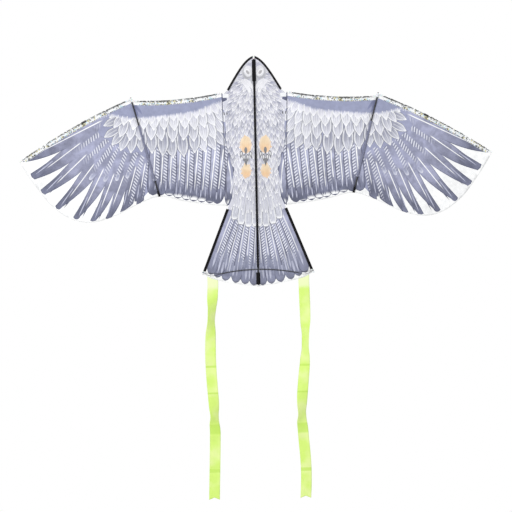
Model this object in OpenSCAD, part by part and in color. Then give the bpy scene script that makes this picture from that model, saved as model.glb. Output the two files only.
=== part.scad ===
// Hawk-shaped bird scarer kite: printed cloth sail on a rod frame, with two ribbon streamers.
// The sail stands in the XZ plane, nose up (+Z). The frame side faces -Y, the belly side +Y.
// The origin is the centre of the tow eyelet, where the flying line is tied.

/* [Wings] */
// Width from wing tip to wing tip
wingspan = 1100; // [1000:10:1300]
// Distance of the shoulder from the spine
shoulder_x = 76; // [70:1:85]
// Height of the shoulder above the tow point
shoulder_z = 48; // [42:1:52]
// Distance of the wrist from the spine
wrist_x = 287; // [270:1:310]
// Height of the wrist above the tow point
wrist_z = 36; // [30:1:42]
// Drop of the wing tip below the tow point
tip_drop = 103; // [90:1:115]
// How far the inner leading edge sags between shoulder and wrist
inner_sag = 7; // [4:0.5:9]
// How far the outer leading edge bows outwards
outer_bow = 8; // [5:0.5:10]
// Distance of the batten's foot from the spine
batten_foot_x = 226; // [210:1:240]
// Drop of the batten's foot below the tow point
batten_foot_drop = 190; // [180:1:200]
// Drop of the wing root's trailing corner below the tow point
root_drop = 215; // [205:1:225]
// Deepest drop of the trailing edge below the tow point
trail_drop = 247; // [235:1:260]
// Share of the outer leading edge at which its two spars join
ferrule_share = 0.41; // [0.35:0.01:0.6]

/* [Body] */
// Height of the nose above the tow point
nose_z = 134; // [125:1:140]
// Half width of the head at its base
head_x = 64; // [60:1:68]
// Height of the head's base above the tow point
head_base_z = 56; // [54:1:62]
// Half width of the body at the top of the tail
waist_x = 69; // [64:1:74]
// Gap between the wing root's trailing corner and the top of the tail
tail_gap = 7; // [5:1:12]
// Half width of the tail at its corners
tail_corner_x = 129; // [115:1:140]
// Height of the tail's sides
tail_l = 151; // [135:1:170]
// How far the tail's middle hangs below its corners
tail_dip = 30; // [25:1:36]
// How far the tail spreader bows upwards
tail_spreader_bow = 9; // [5:0.5:14]

/* [Streamers] */
// Width of a streamer ribbon
streamer_w = 25; // [20:1:30]
// Length of a streamer below its hem
streamer_l = 500; // [400:10:700]
// Distance of a streamer's middle from the spine
streamer_x = 106; // [98:1:108]
// Height of the sewn hem at the top of a streamer
hem_h = 26; // [22:1:30]
// Thickness of the ribbon
ribbon_t = 0.25; // [0.2:0.05:0.4]

/* [Rods] */
// Diameter of the leading edge spars
spar_d = 3; // [2.5:0.1:3.4]
// Diameter of the tip spars
tip_spar_d = 2; // [1.6:0.1:2.2]
// Diameter of the wing battens
batten_d = 3.2; // [2.5:0.1:4]
// Diameter of the spine
spine_d = 3; // [2.5:0.1:3.5]
// Diameter of the tail rods
tail_rod_d = 2.5; // [2:0.1:3]
// Diameter of the shoulder spreader
spreader_d = 3; // [2.5:0.1:3.5]
// Diameter of the tail spreader
tail_spreader_d = 2; // [1.4:0.1:2.4]

/* [Cloth and tape] */
// Thickness of the sail cloth
cloth_t = 0.3; // [0.2:0.05:0.5]
// Depth of the leading edge sleeve behind its spar
sleeve_depth = 9; // [7:0.5:11]
// Thickness of the sleeve's flat edge
sleeve_edge_t = 0.8; // [0.6:0.1:1.2]
// Wall of the sleeves round the rods
sleeve_wall = 0.65; // [0.5:0.05:0.9]
// Width of the head binding
binding_w = 5; // [4:0.5:7]
// Thickness of the head binding, folded over the cloth
binding_t = 1.2; // [0.9:0.1:1.4]
// Width of the spine casing's sewn base
spine_base_w = 5; // [4.8:0.1:8]
// Depth of the tail sleeves beside their rods
tail_sleeve_depth = 4.5; // [3.5:0.5:6]

/* [Tow point] */
// Radius of the eyelet's hole
eyelet_r = 3; // [2.5:0.1:3.5]
// Distance of the eyelet's centre from the sail
tow_stand = 11; // [10:0.5:14]
// Width of the tow tab
tow_tab_w = 16; // [14:1:20]

/* [Hidden] */
// Clearances and the overrun of cuts
fit_gap = 0.05;
sew_gap = 0.1;
run_gap = 0.08;
hinge_gap = 0.3;
overrun = 1;
round_fn = 32;
arc_fn = 1080;
far = wingspan;

// Sides of the kite, as the viewer of the frame side sees them
left = -1;
right = 1;

// Walls and lengths of the small fittings
cap_wall = 0.8;
cap_end = 1.5;
cap_l = 8;
tail_cap_l = 3.5;
hose_wall = 0.7;
hose_l = 14;
spar_in_hose = 9;
sleeve_stand = 2;
ferrule_wall = 0.9;
ferrule_l = 12;
eye_wall = 1.1;
tube_base_t = 0.5;
nose_pocket_w = 9;
nose_pocket_l = 50;
tail_pocket_w = 9.5;
tail_pocket_l = 28;
pocket_wall = 1;
pocket_l = 14;
batten_top_bare = 62;
batten_foot_bare = 38;
seam_r = 0.9;
patch_t = 0.4;
patch_w = 14;
patch_h = 9;
patch_margin = 2;
tie_thread_r = 0.8;
stitch_r = 0.25;
stitch_l = 3;
stitch_count = 5;
hem_roll_r = 0.6;
tab_wall = 0.6;
tab_t = 1.4;
tab_nose = 7;
eyelet_wall = 0.6;
eyelet_rim = 1.6;
eyelet_rim_t = 0.5;
cord_r = 0.5;
strand_r = 0.3;
strand_step = 0.4;
whipping_r = 0.8;
whipping_l = 2.5;
tie_l = 40;
tie_droop = 5;

// Radii worked out from the rods
spar_r = spar_d / 2;
tip_spar_r = tip_spar_d / 2;
batten_r = batten_d / 2;
spine_r = spine_d / 2;
tail_rod_r = tail_rod_d / 2;
spreader_r = spreader_d / 2;
tail_spreader_r = tail_spreader_d / 2;
sleeve_r = spar_r + fit_gap + sleeve_wall;
hose_r = spar_r + fit_gap + hose_wall;
eye_r = batten_r + run_gap + eye_wall;
casing_r = batten_r + fit_gap + sleeve_wall;
tail_sleeve_r = tail_rod_r + fit_gap + sleeve_wall;
ferrule_r = spar_r + fit_gap + ferrule_wall;

// Main points of one wing, in X and Z
half_span = wingspan / 2;
shoulder = [shoulder_x, shoulder_z];
seam_foot = [waist_x, -root_drop];
wrist = [wrist_x, wrist_z];
batten_foot = [batten_foot_x, -batten_foot_drop];
tip = [half_span, -tip_drop];

// The two hoses at the wrist sit one above the other on the batten
batten_way = unit(batten_foot - wrist);
eye_step = hose_r + hinge_gap / 2;
wrist_in = wrist + batten_way * eye_step;
wrist_out = wrist - batten_way * eye_step;
batten_l = norm(batten_foot - wrist);
batten_over = 2 * eye_step + cap_end;

// Arcs of the leading edge
inner_arc = arc(shoulder, wrist_in, -inner_sag);
outer_arc = arc(wrist_out, tip, outer_bow);
inner_l = arc_length(inner_arc, shoulder, wrist_in);
outer_l = arc_length(outer_arc, wrist_out, tip);
ferrule_s = outer_l * ferrule_share;

// Trailing edge: shares from root to batten foot, then from batten foot to tip
root_shares = [[0.3, 0.19], [0.65, 0.55]];
trail_shares = [
    [0.17, 0.845], [0.32, 0.94], [0.49, 1], [0.645, 0.96],
    [0.785, 0.825], [0.892, 0.645], [0.965, 0.5]
];
curve_steps = 6;
root_points = [
    for (s = root_shares)
        [mix(waist_x, batten_foot_x, s[0]), -mix(root_drop, batten_foot_drop, s[1])]
];
trail_points = [
    for (s = trail_shares)
        [mix(batten_foot_x, half_span, s[0]), -trail_drop * s[1]]
];
trailing_edge = smooth(concat([seam_foot], root_points, [batten_foot], trail_points, [tip]));

// Head outline from nose to shoulder, as a curve of shares of the head's size
head_h = nose_z - head_base_z;
nose_pull_shares = [0.34, 0.92];
neck_pull_shares = [0.59, 0.57];
head_steps = 16;
head_ends = [[0, nose_z], head_point(nose_pull_shares), head_point(neck_pull_shares), head_point([1, 0])];
head_outline = [for (i = [0 : head_steps]) bezier(head_ends, i / head_steps)];

// Tail outline
tail_top_drop = root_drop + tail_gap;
tail_corner_drop = tail_top_drop + tail_l;
tail_end_drop = tail_corner_drop + tail_dip;
tail_top = [waist_x, -tail_top_drop];
tail_corner = [tail_corner_x, -tail_corner_drop];
tail_edge_shares = [[0.84, 0.36], [0.62, 0.62], [0.31, 0.86]];
tail_edge = [
    for (s = tail_edge_shares)
        [tail_corner_x * s[0], -mix(tail_corner_drop, tail_end_drop, s[1])]
];
tail_way = unit(tail_corner - tail_top);
tail_inset = left_of(tail_way) * -(tail_sleeve_depth + sew_gap);

// Depths along Y, counted from the sail's mid plane
cloth_front = -cloth_t / 2;
tail_spreader_y = cloth_front - sew_gap - tail_spreader_r;
spine_stand = max(binding_t / 2 + cap_wall, cloth_t / 2 + sew_gap + tail_spreader_d);
spine_y = -(spine_stand + sew_gap + spine_r);
spreader_y = cloth_t / 2 + sew_gap + tab_wall + fit_gap + spreader_r;
hem_y = cloth_t / 2 + ribbon_t / 2;

// Heights along the spine
spine_top = nose_z - cap_end;
spine_foot = -tail_end_drop;
nose_pocket_top = spine_top - cap_l;
tail_pocket_foot = spine_foot + tail_cap_l;
casing_top = nose_pocket_top - nose_pocket_l - sew_gap;
casing_foot = -tail_corner_drop + tail_spreader_bow + 2 * tail_spreader_d;

// Streamers hang from the foot of their hem
hem_foot = -(tail_corner_drop + hem_h - overrun);
streamer_top = hem_foot - hem_roll_r - hinge_gap;
streamer_rings = 80;
flat_top_share = 0.1;
// Each fold: place along the ribbon, reach as shares of its length, and turn in degrees
left_fold_shares = [[0.15, 0.09, 48], [0.61, 0.06, 38]];
right_fold_shares = [[0.27, 0.11, -52], [0.6, 0.06, 40]];
// Each sway: turns over the length, phase in turns, and size as a share of the width
left_sway_shares = [[0.9, 0.52, 0.2], [1.9, 0.1, 0.05]];
right_sway_shares = [[1.35, 0.98, 0.17], [2.2, 0.4, 0.04]];
// How far both streamers hang off to the left at their feet, as a share of the width
streamer_drift_share = -0.36;

// Tie rings of the shoulder spreader
tie_ring_r = spreader_y - cloth_front + tie_thread_r;
tie_turns = 2;
tie_step = 6.5;
tie_inset = 1.5;

// Plane geometry
function mix(a, b, t) = a + (b - a) * t;
function unit(v) = v / norm(v);
function left_of(v) = [-v[1], v[0]];
function head_point(shares) = [head_x * shares[0], head_base_z + head_h * shares[1]];
function bezier(p, t) =
    let (u = 1 - t)
    p[0] * pow(u, 3) + p[1] * 3 * u * u * t + p[2] * 3 * u * t * t + p[3] * pow(t, 3);
function spline(p0, p1, p2, p3, t) =
    0.5 * (2 * p1 + (p2 - p0) * t + (2 * p0 - 5 * p1 + 4 * p2 - p3) * t * t
           + (3 * p1 - p0 - 3 * p2 + p3) * pow(t, 3));
// A smooth curve through all the points
function smooth(p) =
    let (n = len(p) - 1)
    concat(
        [
            for (i = [0 : n - 1], k = [0 : curve_steps - 1])
                spline(p[max(i - 1, 0)], p[i], p[i + 1], p[min(i + 2, n)], k / curve_steps)
        ],
        [p[n]]
    );
// A curve shifted sideways, to the right of its own direction
function shifted(p, d) =
    [
        for (i = [0 : len(p) - 1])
            p[i] - left_of(unit(p[min(i + 1, len(p) - 1)] - p[max(i - 1, 0)])) * d
    ];
function reversed(p) = [for (i = [len(p) - 1 : -1 : 0]) p[i]];
function mirrored(p) = [for (q = reversed(p)) [-q[0], q[1]]];

// An arc through a and b, with its rise to the left of that way: centre, radius, angle at a, turn
function arc(a, b, rise) =
    let (
        r = pow(norm(b - a), 2) / (8 * abs(rise)) + abs(rise) / 2,
        c = (a + b) / 2 + left_of(unit(b - a)) * (rise - sign(rise) * r)
    )
    [c, r, atan2(a[1] - c[1], a[0] - c[0]), -sign(rise)];
function arc_length(q, a, b) = 2 * q[1] * asin(norm(b - a) / 2 / q[1]) * PI / 180;
function arc_angle(q, s) = q[2] + q[3] * s / q[1] * 180 / PI;

// Placing helpers: everything is set back so that the eyelet's centre is the origin
module place(side = right) {
    translate([0, -tow_stand, 0])
        if (side == left)
            mirror([1, 0, 0]) children();
        else
            children();
}
// A flat shape drawn in X and Z
module sheet(t, y = 0) {
    translate([0, y, 0])
        rotate([90, 0, 0])
            linear_extrude(height = t, center = true) children();
}
// Everything to the left of the way from a to b, beyond a distance from that line
module beyond(a, b, distance) {
    way = b - a;
    translate(a)
        rotate(atan2(way[1], way[0]))
            translate([-far, distance])
                square([3 * far, far]);
}
// Children stand along the way from a to b, in X and Z
module along(a, b) {
    translate([a[0], 0, a[1]])
        rotate([0, atan2(b[0] - a[0], b[1] - a[1]), 0])
            children();
}
// A profile swept along an arc, from one place to another on it
module on_arc(q, from, to) {
    start = min(arc_angle(q, from), arc_angle(q, to));
    turn = abs(to - from) / q[1] * 180 / PI;
    translate([q[0][0], 0, q[0][1]])
        rotate([90, 0, 0])
            rotate([0, 0, start])
                rotate_extrude(angle = turn, $fn = arc_fn)
                    translate([q[1], 0])
                        children();
}
module disc(r) {
    circle(r = r, $fn = round_fn);
}
module round_bar(h, r) {
    cylinder(h = h, r = r, $fn = round_fn);
}
module ring(r_out, r_in) {
    difference() {
        disc(r_out);
        disc(r_in);
    }
}
// A vinyl cap that hangs on the end of a rod standing along Z, its open end at zero
module cap(rod_r, l) {
    difference() {
        round_bar(l, rod_r + cap_wall);
        translate([0, 0, -overrun])
            round_bar(l - cap_end + overrun, rod_r + fit_gap);
    }
}

// Sail panels
module wing_outline() {
    way = left_of(unit(tip - wrist)) * 2 * outer_bow;
    polygon(concat(
        [shoulder, wrist, wrist + way, tip + way],
        reversed(trailing_edge)
    ));
}
module body_panel() {
    head = [for (p = shifted(head_outline, binding_w + sew_gap)) if (p[0] > sew_gap) p];
    half = concat(
        head,
        [
            shoulder - [seam_r + sew_gap, 0],
            seam_foot - [seam_r + sew_gap, 0],
            tail_top + tail_inset,
            tail_corner + tail_inset
        ],
        tail_edge
    );
    color("lavender")
        place()
            sheet(cloth_t)
                polygon(concat(half, [[0, -tail_end_drop]], mirrored(half), [[0, head[0][1]]]));
}
module inner_panel(side) {
    color("lightsteelblue")
        place(side)
            difference() {
                sheet(cloth_t)
                    difference() {
                        wing_outline();
                        beyond(seam_foot, shoulder, -(seam_r + hinge_gap));
                        beyond(wrist, batten_foot, -(casing_r + sew_gap));
                    }
                translate([inner_arc[0][0], 0, inner_arc[0][1]])
                    rotate([90, 0, 0])
                        cylinder(
                            h = cloth_t + 2 * overrun,
                            r = inner_arc[1] + sleeve_depth + sew_gap,
                            center = true,
                            $fn = arc_fn
                        );
            }
}
module outer_panel(side) {
    color("lightsteelblue")
        place(side)
            intersection() {
                sheet(cloth_t)
                    difference() {
                        wing_outline();
                        beyond(batten_foot, wrist, -(eye_r + hinge_gap));
                    }
                translate([outer_arc[0][0], 0, outer_arc[0][1]])
                    rotate([90, 0, 0])
                        cylinder(
                            h = cloth_t + 2 * overrun,
                            r = outer_arc[1] - sleeve_depth - sew_gap,
                            center = true,
                            $fn = arc_fn
                        );
            }
}

// Spine and what holds it
module spine_rod() {
    color("black")
        place()
            translate([0, spine_y, spine_foot])
                round_bar(spine_top - spine_foot, spine_r);
}
// A tape sewn to the cloth and folded over the spine, standing along Z
module spine_tape(from, to, base_w, wall) {
    translate([0, 0, from])
        linear_extrude(height = to - from)
            difference() {
                union() {
                    translate([0, spine_y]) disc(spine_r + fit_gap + wall);
                    translate([-spine_r, spine_y]) square([spine_d, -spine_y + cloth_front]);
                    translate([-base_w / 2, cloth_front - tube_base_t]) square([base_w, tube_base_t]);
                }
                translate([0, spine_y]) disc(spine_r + fit_gap);
            }
}
module spine_casing() {
    color("black") place() spine_tape(casing_foot, casing_top, spine_base_w, sleeve_wall);
}
module nose_pocket() {
    color("black")
        place()
            spine_tape(nose_pocket_top - nose_pocket_l, nose_pocket_top, nose_pocket_w, pocket_wall);
}
module tail_pocket() {
    color("black")
        place()
            spine_tape(tail_pocket_foot, tail_pocket_foot + tail_pocket_l, tail_pocket_w, pocket_wall);
}
module spine_caps() {
    color("whitesmoke")
        place()
            translate([0, spine_y, 0]) {
                translate([0, 0, spine_top + cap_end - cap_l]) cap(spine_r, cap_l);
                translate([0, 0, spine_foot - cap_end + tail_cap_l]) mirror([0, 0, 1]) cap(spine_r, tail_cap_l);
            }
}
module head_binding(side) {
    inside = shifted(head_outline, binding_w);
    color("black")
        place(side)
            intersection() {
                sheet(binding_t)
                    polygon(concat(head_outline, reversed(inside)));
                sheet(2 * binding_t) square(far);
            }
}
module shoulder_patch(side) {
    corner = shoulder - [seam_r + hinge_gap + seam_r, patch_margin];
    color("white")
        place(side)
            sheet(patch_t, cloth_front - patch_t / 2)
                translate(corner - [patch_w, patch_h])
                    square([patch_w, patch_h]);
}
module seam_roll(side) {
    color("slategray")
        place(side)
            along(seam_foot, shoulder)
                round_bar(norm(shoulder - seam_foot), seam_r);
}

// Tail frame
module tail_rod(side) {
    color("black")
        place(side)
            along(tail_top, tail_corner)
                round_bar(norm(tail_corner - tail_top), tail_rod_r);
}
module tail_sleeve(side) {
    color("black")
        place(side)
            along(tail_top, tail_corner)
                linear_extrude(height = norm(tail_corner - tail_top) - cap_l)
                    difference() {
                        union() {
                            disc(tail_sleeve_r);
                            translate([0, -sleeve_edge_t / 2])
                                square([tail_sleeve_depth, sleeve_edge_t]);
                        }
                        disc(tail_rod_r + fit_gap);
                    }
}
module tail_rod_caps() {
    l = norm(tail_corner - tail_top);
    color("whitesmoke")
        for (side = [left, right])
            place(side)
                along(tail_top, tail_corner)
                    translate([0, 0, l + cap_end - cap_l + sew_gap])
                        cap(tail_rod_r, cap_l);
}
// The spreader is a thin rod, bent upwards between the two ties
tail_spreader_x = tail_corner_x - tie_l;
tail_spreader_ends = [[-tail_spreader_x, -tail_corner_drop], [tail_spreader_x, -tail_corner_drop]];
tail_spreader_arc = arc(tail_spreader_ends[0], tail_spreader_ends[1], tail_spreader_bow);
module tail_spreader() {
    l = arc_length(tail_spreader_arc, tail_spreader_ends[0], tail_spreader_ends[1]);
    color("black")
        place()
            translate([0, tail_spreader_y, 0])
                on_arc(tail_spreader_arc, 0, l)
                    disc(tail_spreader_r);
}
// A cord ring on the tail rod's cap, and two strands from it to a whipping at the spreader's end
module tail_ties() {
    ring_r = tail_rod_r + cap_wall + cord_r + fit_gap;
    ring_place = tail_corner - tail_way * (cap_l / 2);
    step = [0, strand_step];
    start = ring_place - left_of(tail_way) * ring_r;
    finish = [tail_spreader_x + whipping_l, -tail_corner_drop];
    droop = arc(start - step, finish - step, tie_droop);
    color("black")
        for (side = [left, right])
            place(side) {
                along(ring_place, tail_corner)
                    translate([0, 0, -cord_r])
                        linear_extrude(height = 2 * cord_r)
                            ring(ring_r + cord_r, ring_r - cord_r);
                translate([0, tail_spreader_y, 0]) {
                    translate([tail_spreader_x + hinge_gap, 0, -tail_corner_drop])
                        rotate([0, 90, 0])
                            round_bar(whipping_l + overrun, whipping_r);
                    along(start + step, finish + step)
                        round_bar(norm(finish - start), strand_r);
                    on_arc(droop, 0, arc_length(droop, start - step, finish - step))
                        disc(strand_r);
                }
            }
}

// Shoulder spreader, behind the cloth, and the tow point on it
spreader_half = mix(shoulder_x, waist_x, shoulder_z / (shoulder_z + root_drop)) - 2 * seam_r;
module spreader_bar(l, r) {
    rotate([0, 90, 0])
        translate([0, 0, -l / 2])
            round_bar(l, r);
}
module shoulder_spreader() {
    color("black")
        place()
            translate([0, spreader_y, 0])
                spreader_bar(2 * (spreader_half - cap_end), spreader_r);
}
module spreader_caps() {
    color("whitesmoke")
        for (side = [left, right])
            place(side)
                translate([spreader_half - cap_l / 2, spreader_y, 0])
                    rotate([0, 90, 0])
                        difference() {
                            round_bar(cap_l / 2, spreader_r + tab_wall);
                            translate([0, 0, -overrun])
                                round_bar(cap_l / 2 - cap_end + overrun, spreader_r + fit_gap);
                        }
}
module spreader_ties() {
    color("black")
        for (side = [left, right], i = [0 : tie_turns - 1])
            place(side)
                translate([spreader_half - tie_inset - i * tie_step, spreader_y, 0])
                    rotate([0, 90, 0])
                        rotate_extrude($fn = round_fn)
                            translate([tie_ring_r, 0]) disc(tie_thread_r);
}
module tow_tab() {
    hole_r = eyelet_r + eyelet_wall + fit_gap;
    color("black")
        place()
            difference() {
                rotate([90, 0, 90])
                    linear_extrude(height = tow_tab_w, center = true)
                        difference() {
                            union() {
                                translate([spreader_y, 0]) disc(spreader_r + fit_gap + tab_wall);
                                translate([spreader_y, -tab_t / 2])
                                    square([tow_stand - spreader_y + tab_nose, tab_t]);
                            }
                            translate([spreader_y, 0]) disc(spreader_r + fit_gap);
                        }
                translate([0, tow_stand, -tab_t])
                    round_bar(2 * tab_t, hole_r);
            }
}
module tow_eyelet() {
    h = tab_t + 2 * eyelet_rim_t;
    color("goldenrod")
        place()
            translate([0, tow_stand, -h / 2])
                difference() {
                    union() {
                        round_bar(h, eyelet_r + eyelet_wall);
                        for (z = [0, h - eyelet_rim_t])
                            translate([0, 0, z])
                                round_bar(eyelet_rim_t, eyelet_r + eyelet_rim);
                    }
                    translate([0, 0, -overrun])
                        round_bar(h + 2 * overrun, eyelet_r);
                }
}

// Inner wing frame
module leading_sleeve(toward) {
    difference() {
        union() {
            disc(sleeve_r);
            translate([toward < 0 ? -sleeve_depth : 0, -sleeve_edge_t / 2])
                square([sleeve_depth, sleeve_edge_t]);
        }
        disc(spar_r + fit_gap);
    }
}
shoulder_cap_s = cap_l / 2;
inner_spar_s = shoulder_cap_s + cap_end;
inner_sleeve_s = shoulder_cap_s + cap_l + sleeve_stand;
hose_sleeve_s = hose_l + sleeve_stand;
module inner_spar(side) {
    color("dimgray")
        place(side)
            on_arc(inner_arc, inner_spar_s, inner_l - hose_l + spar_in_hose) disc(spar_r);
}
module inner_sleeve(side) {
    color("aliceblue")
        place(side)
            on_arc(inner_arc, inner_sleeve_s, inner_l - hose_sleeve_s) leading_sleeve(1);
}
module shoulder_cap(side) {
    color("whitesmoke")
        place(side)
            difference() {
                on_arc(inner_arc, shoulder_cap_s, shoulder_cap_s + cap_l) disc(spar_r + cap_wall);
                on_arc(inner_arc, inner_spar_s, shoulder_cap_s + cap_l + overrun) disc(spar_r + fit_gap);
            }
}
// The batten's own line: children stand on it, Z running from wrist to foot
module on_batten(s) {
    along(wrist, batten_foot)
        translate([0, 0, s])
            children();
}
module eye(s) {
    on_batten(s - hose_r) round_bar(2 * hose_r, eye_r);
}
module batten_bore() {
    on_batten(-far / 2) round_bar(far, batten_r + run_gap);
}
module inner_hose(side) {
    color("whitesmoke")
        place(side)
            difference() {
                union() {
                    on_arc(inner_arc, inner_l - hose_l, inner_l) disc(hose_r);
                    eye(eye_step);
                }
                on_arc(inner_arc, inner_l - hose_l - overrun, inner_l - hose_l + spar_in_hose + fit_gap)
                    disc(spar_r + fit_gap);
                batten_bore();
            }
}
module batten(side) {
    color("black")
        place(side)
            on_batten(-batten_over)
                round_bar(batten_over + batten_l - pocket_l / 2, batten_r);
}
module batten_casing(side) {
    color("lightsteelblue")
        place(side)
            on_batten(batten_top_bare)
                linear_extrude(height = batten_l - batten_top_bare - batten_foot_bare)
                    ring(casing_r, batten_r + fit_gap);
}
module batten_pocket(side) {
    color("black")
        place(side)
            on_batten(batten_l)
                mirror([0, 0, 1])
                    difference() {
                        round_bar(pocket_l, casing_r);
                        translate([0, 0, pocket_l / 2 - fit_gap])
                            round_bar(pocket_l, batten_r + fit_gap);
                    }
}

// Outer wing frame
module outer_hose(side) {
    color("whitesmoke")
        place(side)
            difference() {
                union() {
                    on_arc(outer_arc, 0, hose_l) disc(hose_r);
                    eye(-eye_step);
                }
                on_arc(outer_arc, hose_l - spar_in_hose - fit_gap, hose_l + overrun)
                    disc(spar_r + fit_gap);
                batten_bore();
            }
}
module outer_spar(side) {
    color("dimgray")
        place(side)
            on_arc(outer_arc, hose_l - spar_in_hose, ferrule_s) disc(spar_r);
}
module ferrule(side) {
    reach = ferrule_l / 2;
    color("black")
        place(side)
            difference() {
                on_arc(outer_arc, ferrule_s - reach, ferrule_s + reach) disc(ferrule_r);
                on_arc(outer_arc, ferrule_s - reach - overrun, ferrule_s + fit_gap) disc(spar_r + fit_gap);
                on_arc(outer_arc, ferrule_s - overrun, ferrule_s + reach + overrun)
                    disc(tip_spar_r + fit_gap);
            }
}
module tip_spar(side) {
    color("dimgray")
        place(side)
            on_arc(outer_arc, ferrule_s + 2 * fit_gap, outer_l - cap_end - fit_gap) disc(tip_spar_r);
}
module outer_sleeve(side) {
    color("aliceblue")
        place(side)
            difference() {
                on_arc(outer_arc, hose_sleeve_s, outer_l - cap_l - sleeve_stand) leading_sleeve(-1);
                on_arc(outer_arc, ferrule_s - ferrule_l / 2 - sew_gap, ferrule_s + ferrule_l / 2 + sew_gap)
                    disc(ferrule_r + sew_gap);
            }
}
module tip_cap(side) {
    color("whitesmoke")
        place(side)
            difference() {
                on_arc(outer_arc, outer_l - cap_l, outer_l) disc(tip_spar_r + cap_wall);
                on_arc(outer_arc, outer_l - cap_l - overrun, outer_l - cap_end)
                    disc(tip_spar_r + fit_gap);
            }
}

// Streamers
module streamer_hem(side) {
    color("greenyellow")
        place(side)
            translate([0, hem_y, 0]) {
                sheet(ribbon_t)
                    translate([streamer_x - streamer_w / 2, hem_foot])
                        square([streamer_w, hem_h]);
                translate([streamer_x, 0, hem_foot])
                    spreader_bar(streamer_w, hem_roll_r);
            }
}
function tail_edge_z(x) =
    lookup(x, concat([[0, -tail_end_drop]], reversed(tail_edge), [tail_corner + tail_inset]));
module streamer_stitches() {
    step = streamer_w / stitch_count;
    first = streamer_x - streamer_w / 2 + step / 2;
    color("honeydew")
        for (side = [left, right], i = [0 : stitch_count - 1])
            place(side)
                let (x = first + i * step)
                    translate([x, cloth_front - stitch_r, tail_edge_z(x) + stitch_l])
                        spreader_bar(stitch_l, stitch_r);
}
function fold_turn(folds, s) =
    let (turns = [for (f = folds) f[2] * exp(-pow((s - f[0]) / f[1], 2))])
    turns[0] + turns[1];
function sway(sways, s) =
    let (moves = [for (w = sways) w[2] * (sin(360 * (w[0] * s + w[1])) - sin(360 * w[1]))])
    (moves[0] + moves[1] + streamer_drift_share * s) * streamer_w;
// A thin ribbon whose cross section turns and sways on its way down
module streamer(side) {
    folds = side == left ? left_fold_shares : right_fold_shares;
    sways = side == left ? left_sway_shares : right_sway_shares;
    w = streamer_w / 2;
    t = ribbon_t / 2;
    corners = [[-w, -t], [w, -t], [w, t], [-w, t]];
    last = 4 * streamer_rings;
    points = [
        for (i = [0 : streamer_rings])
            let (
                s = i / streamer_rings,
                a = fold_turn(folds, s) * min(1, s / flat_top_share)
            )
            for (c = corners)
                [
                    side * streamer_x + sway(sways, s) + c[0] * cos(a) - c[1] * sin(a),
                    hem_y + c[0] * sin(a) + c[1] * cos(a),
                    streamer_top - streamer_l * s
                ]
    ];
    walls = [
        for (i = [0 : streamer_rings - 1], k = [0 : 3])
            let (
                a = 4 * i + k,
                b = 4 * i + (k + 1) % 4
            )
            each k < 2
                ? [[a, b, b + 4], [a, b + 4, a + 4]]
                : [[a, b, a + 4], [b, b + 4, a + 4]]
    ];
    ends = [[2, 1, 0], [3, 2, 0], [last, last + 1, last + 2], [last, last + 2, last + 3]];
    color("greenyellow")
        place()
            polyhedron(points = points, faces = concat(walls, ends));
}

body_panel();
spine_rod();
spine_casing();
nose_pocket();
tail_pocket();
spine_caps();
head_binding(left);  // head_binding_left
head_binding(right);  // head_binding_right
tail_rod(left);  // tail_rod_left
tail_rod(right);  // tail_rod_right
tail_sleeve(left);  // tail_sleeve_left
tail_sleeve(right);  // tail_sleeve_right
tail_rod_caps();
tail_spreader();
tail_ties();
shoulder_spreader();
spreader_caps();
spreader_ties();
seam_roll(left);  // seam_roll_left
seam_roll(right);  // seam_roll_right
tow_tab();
tow_eyelet();
shoulder_patch(left);  // shoulder_patch_left
shoulder_patch(right);  // shoulder_patch_right
streamer_hem(left);  // streamer_hem_left
streamer_hem(right);  // streamer_hem_right
streamer_stitches();
inner_panel(left);  // inner_panel_left
inner_panel(right);  // inner_panel_right
inner_spar(left);  // inner_spar_left
inner_spar(right);  // inner_spar_right
inner_sleeve(left);  // inner_sleeve_left
inner_sleeve(right);  // inner_sleeve_right
shoulder_cap(left);  // shoulder_cap_left
shoulder_cap(right);  // shoulder_cap_right
inner_hose(left);  // inner_hose_left
inner_hose(right);  // inner_hose_right
batten(left);  // batten_left
batten(right);  // batten_right
batten_casing(left);  // batten_casing_left
batten_casing(right);  // batten_casing_right
batten_pocket(left);  // batten_pocket_left
batten_pocket(right);  // batten_pocket_right
outer_panel(left);  // outer_panel_left
outer_panel(right);  // outer_panel_right
outer_spar(left);  // outer_spar_left
outer_spar(right);  // outer_spar_right
outer_hose(left);  // outer_hose_left
outer_hose(right);  // outer_hose_right
ferrule(left);  // ferrule_left
ferrule(right);  // ferrule_right
tip_spar(left);  // tip_spar_left
tip_spar(right);  // tip_spar_right
outer_sleeve(left);  // outer_sleeve_left
outer_sleeve(right);  // outer_sleeve_right
tip_cap(left);  // tip_cap_left
tip_cap(right);  // tip_cap_right
streamer(left);  // streamer_left
streamer(right);  // streamer_right
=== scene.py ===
"""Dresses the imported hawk-shaped bird scarer kite: printed sail, film sleeves, tapes, rods and ribbons."""

import logging
import math
import random
from dataclasses import dataclass, field, replace
from enum import Enum
from functools import partial
from typing import Any, Callable, ClassVar, Sequence

import bpy
import numpy as np
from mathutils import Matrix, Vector
from mathutils.geometry import delaunay_2d_cdt


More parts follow.
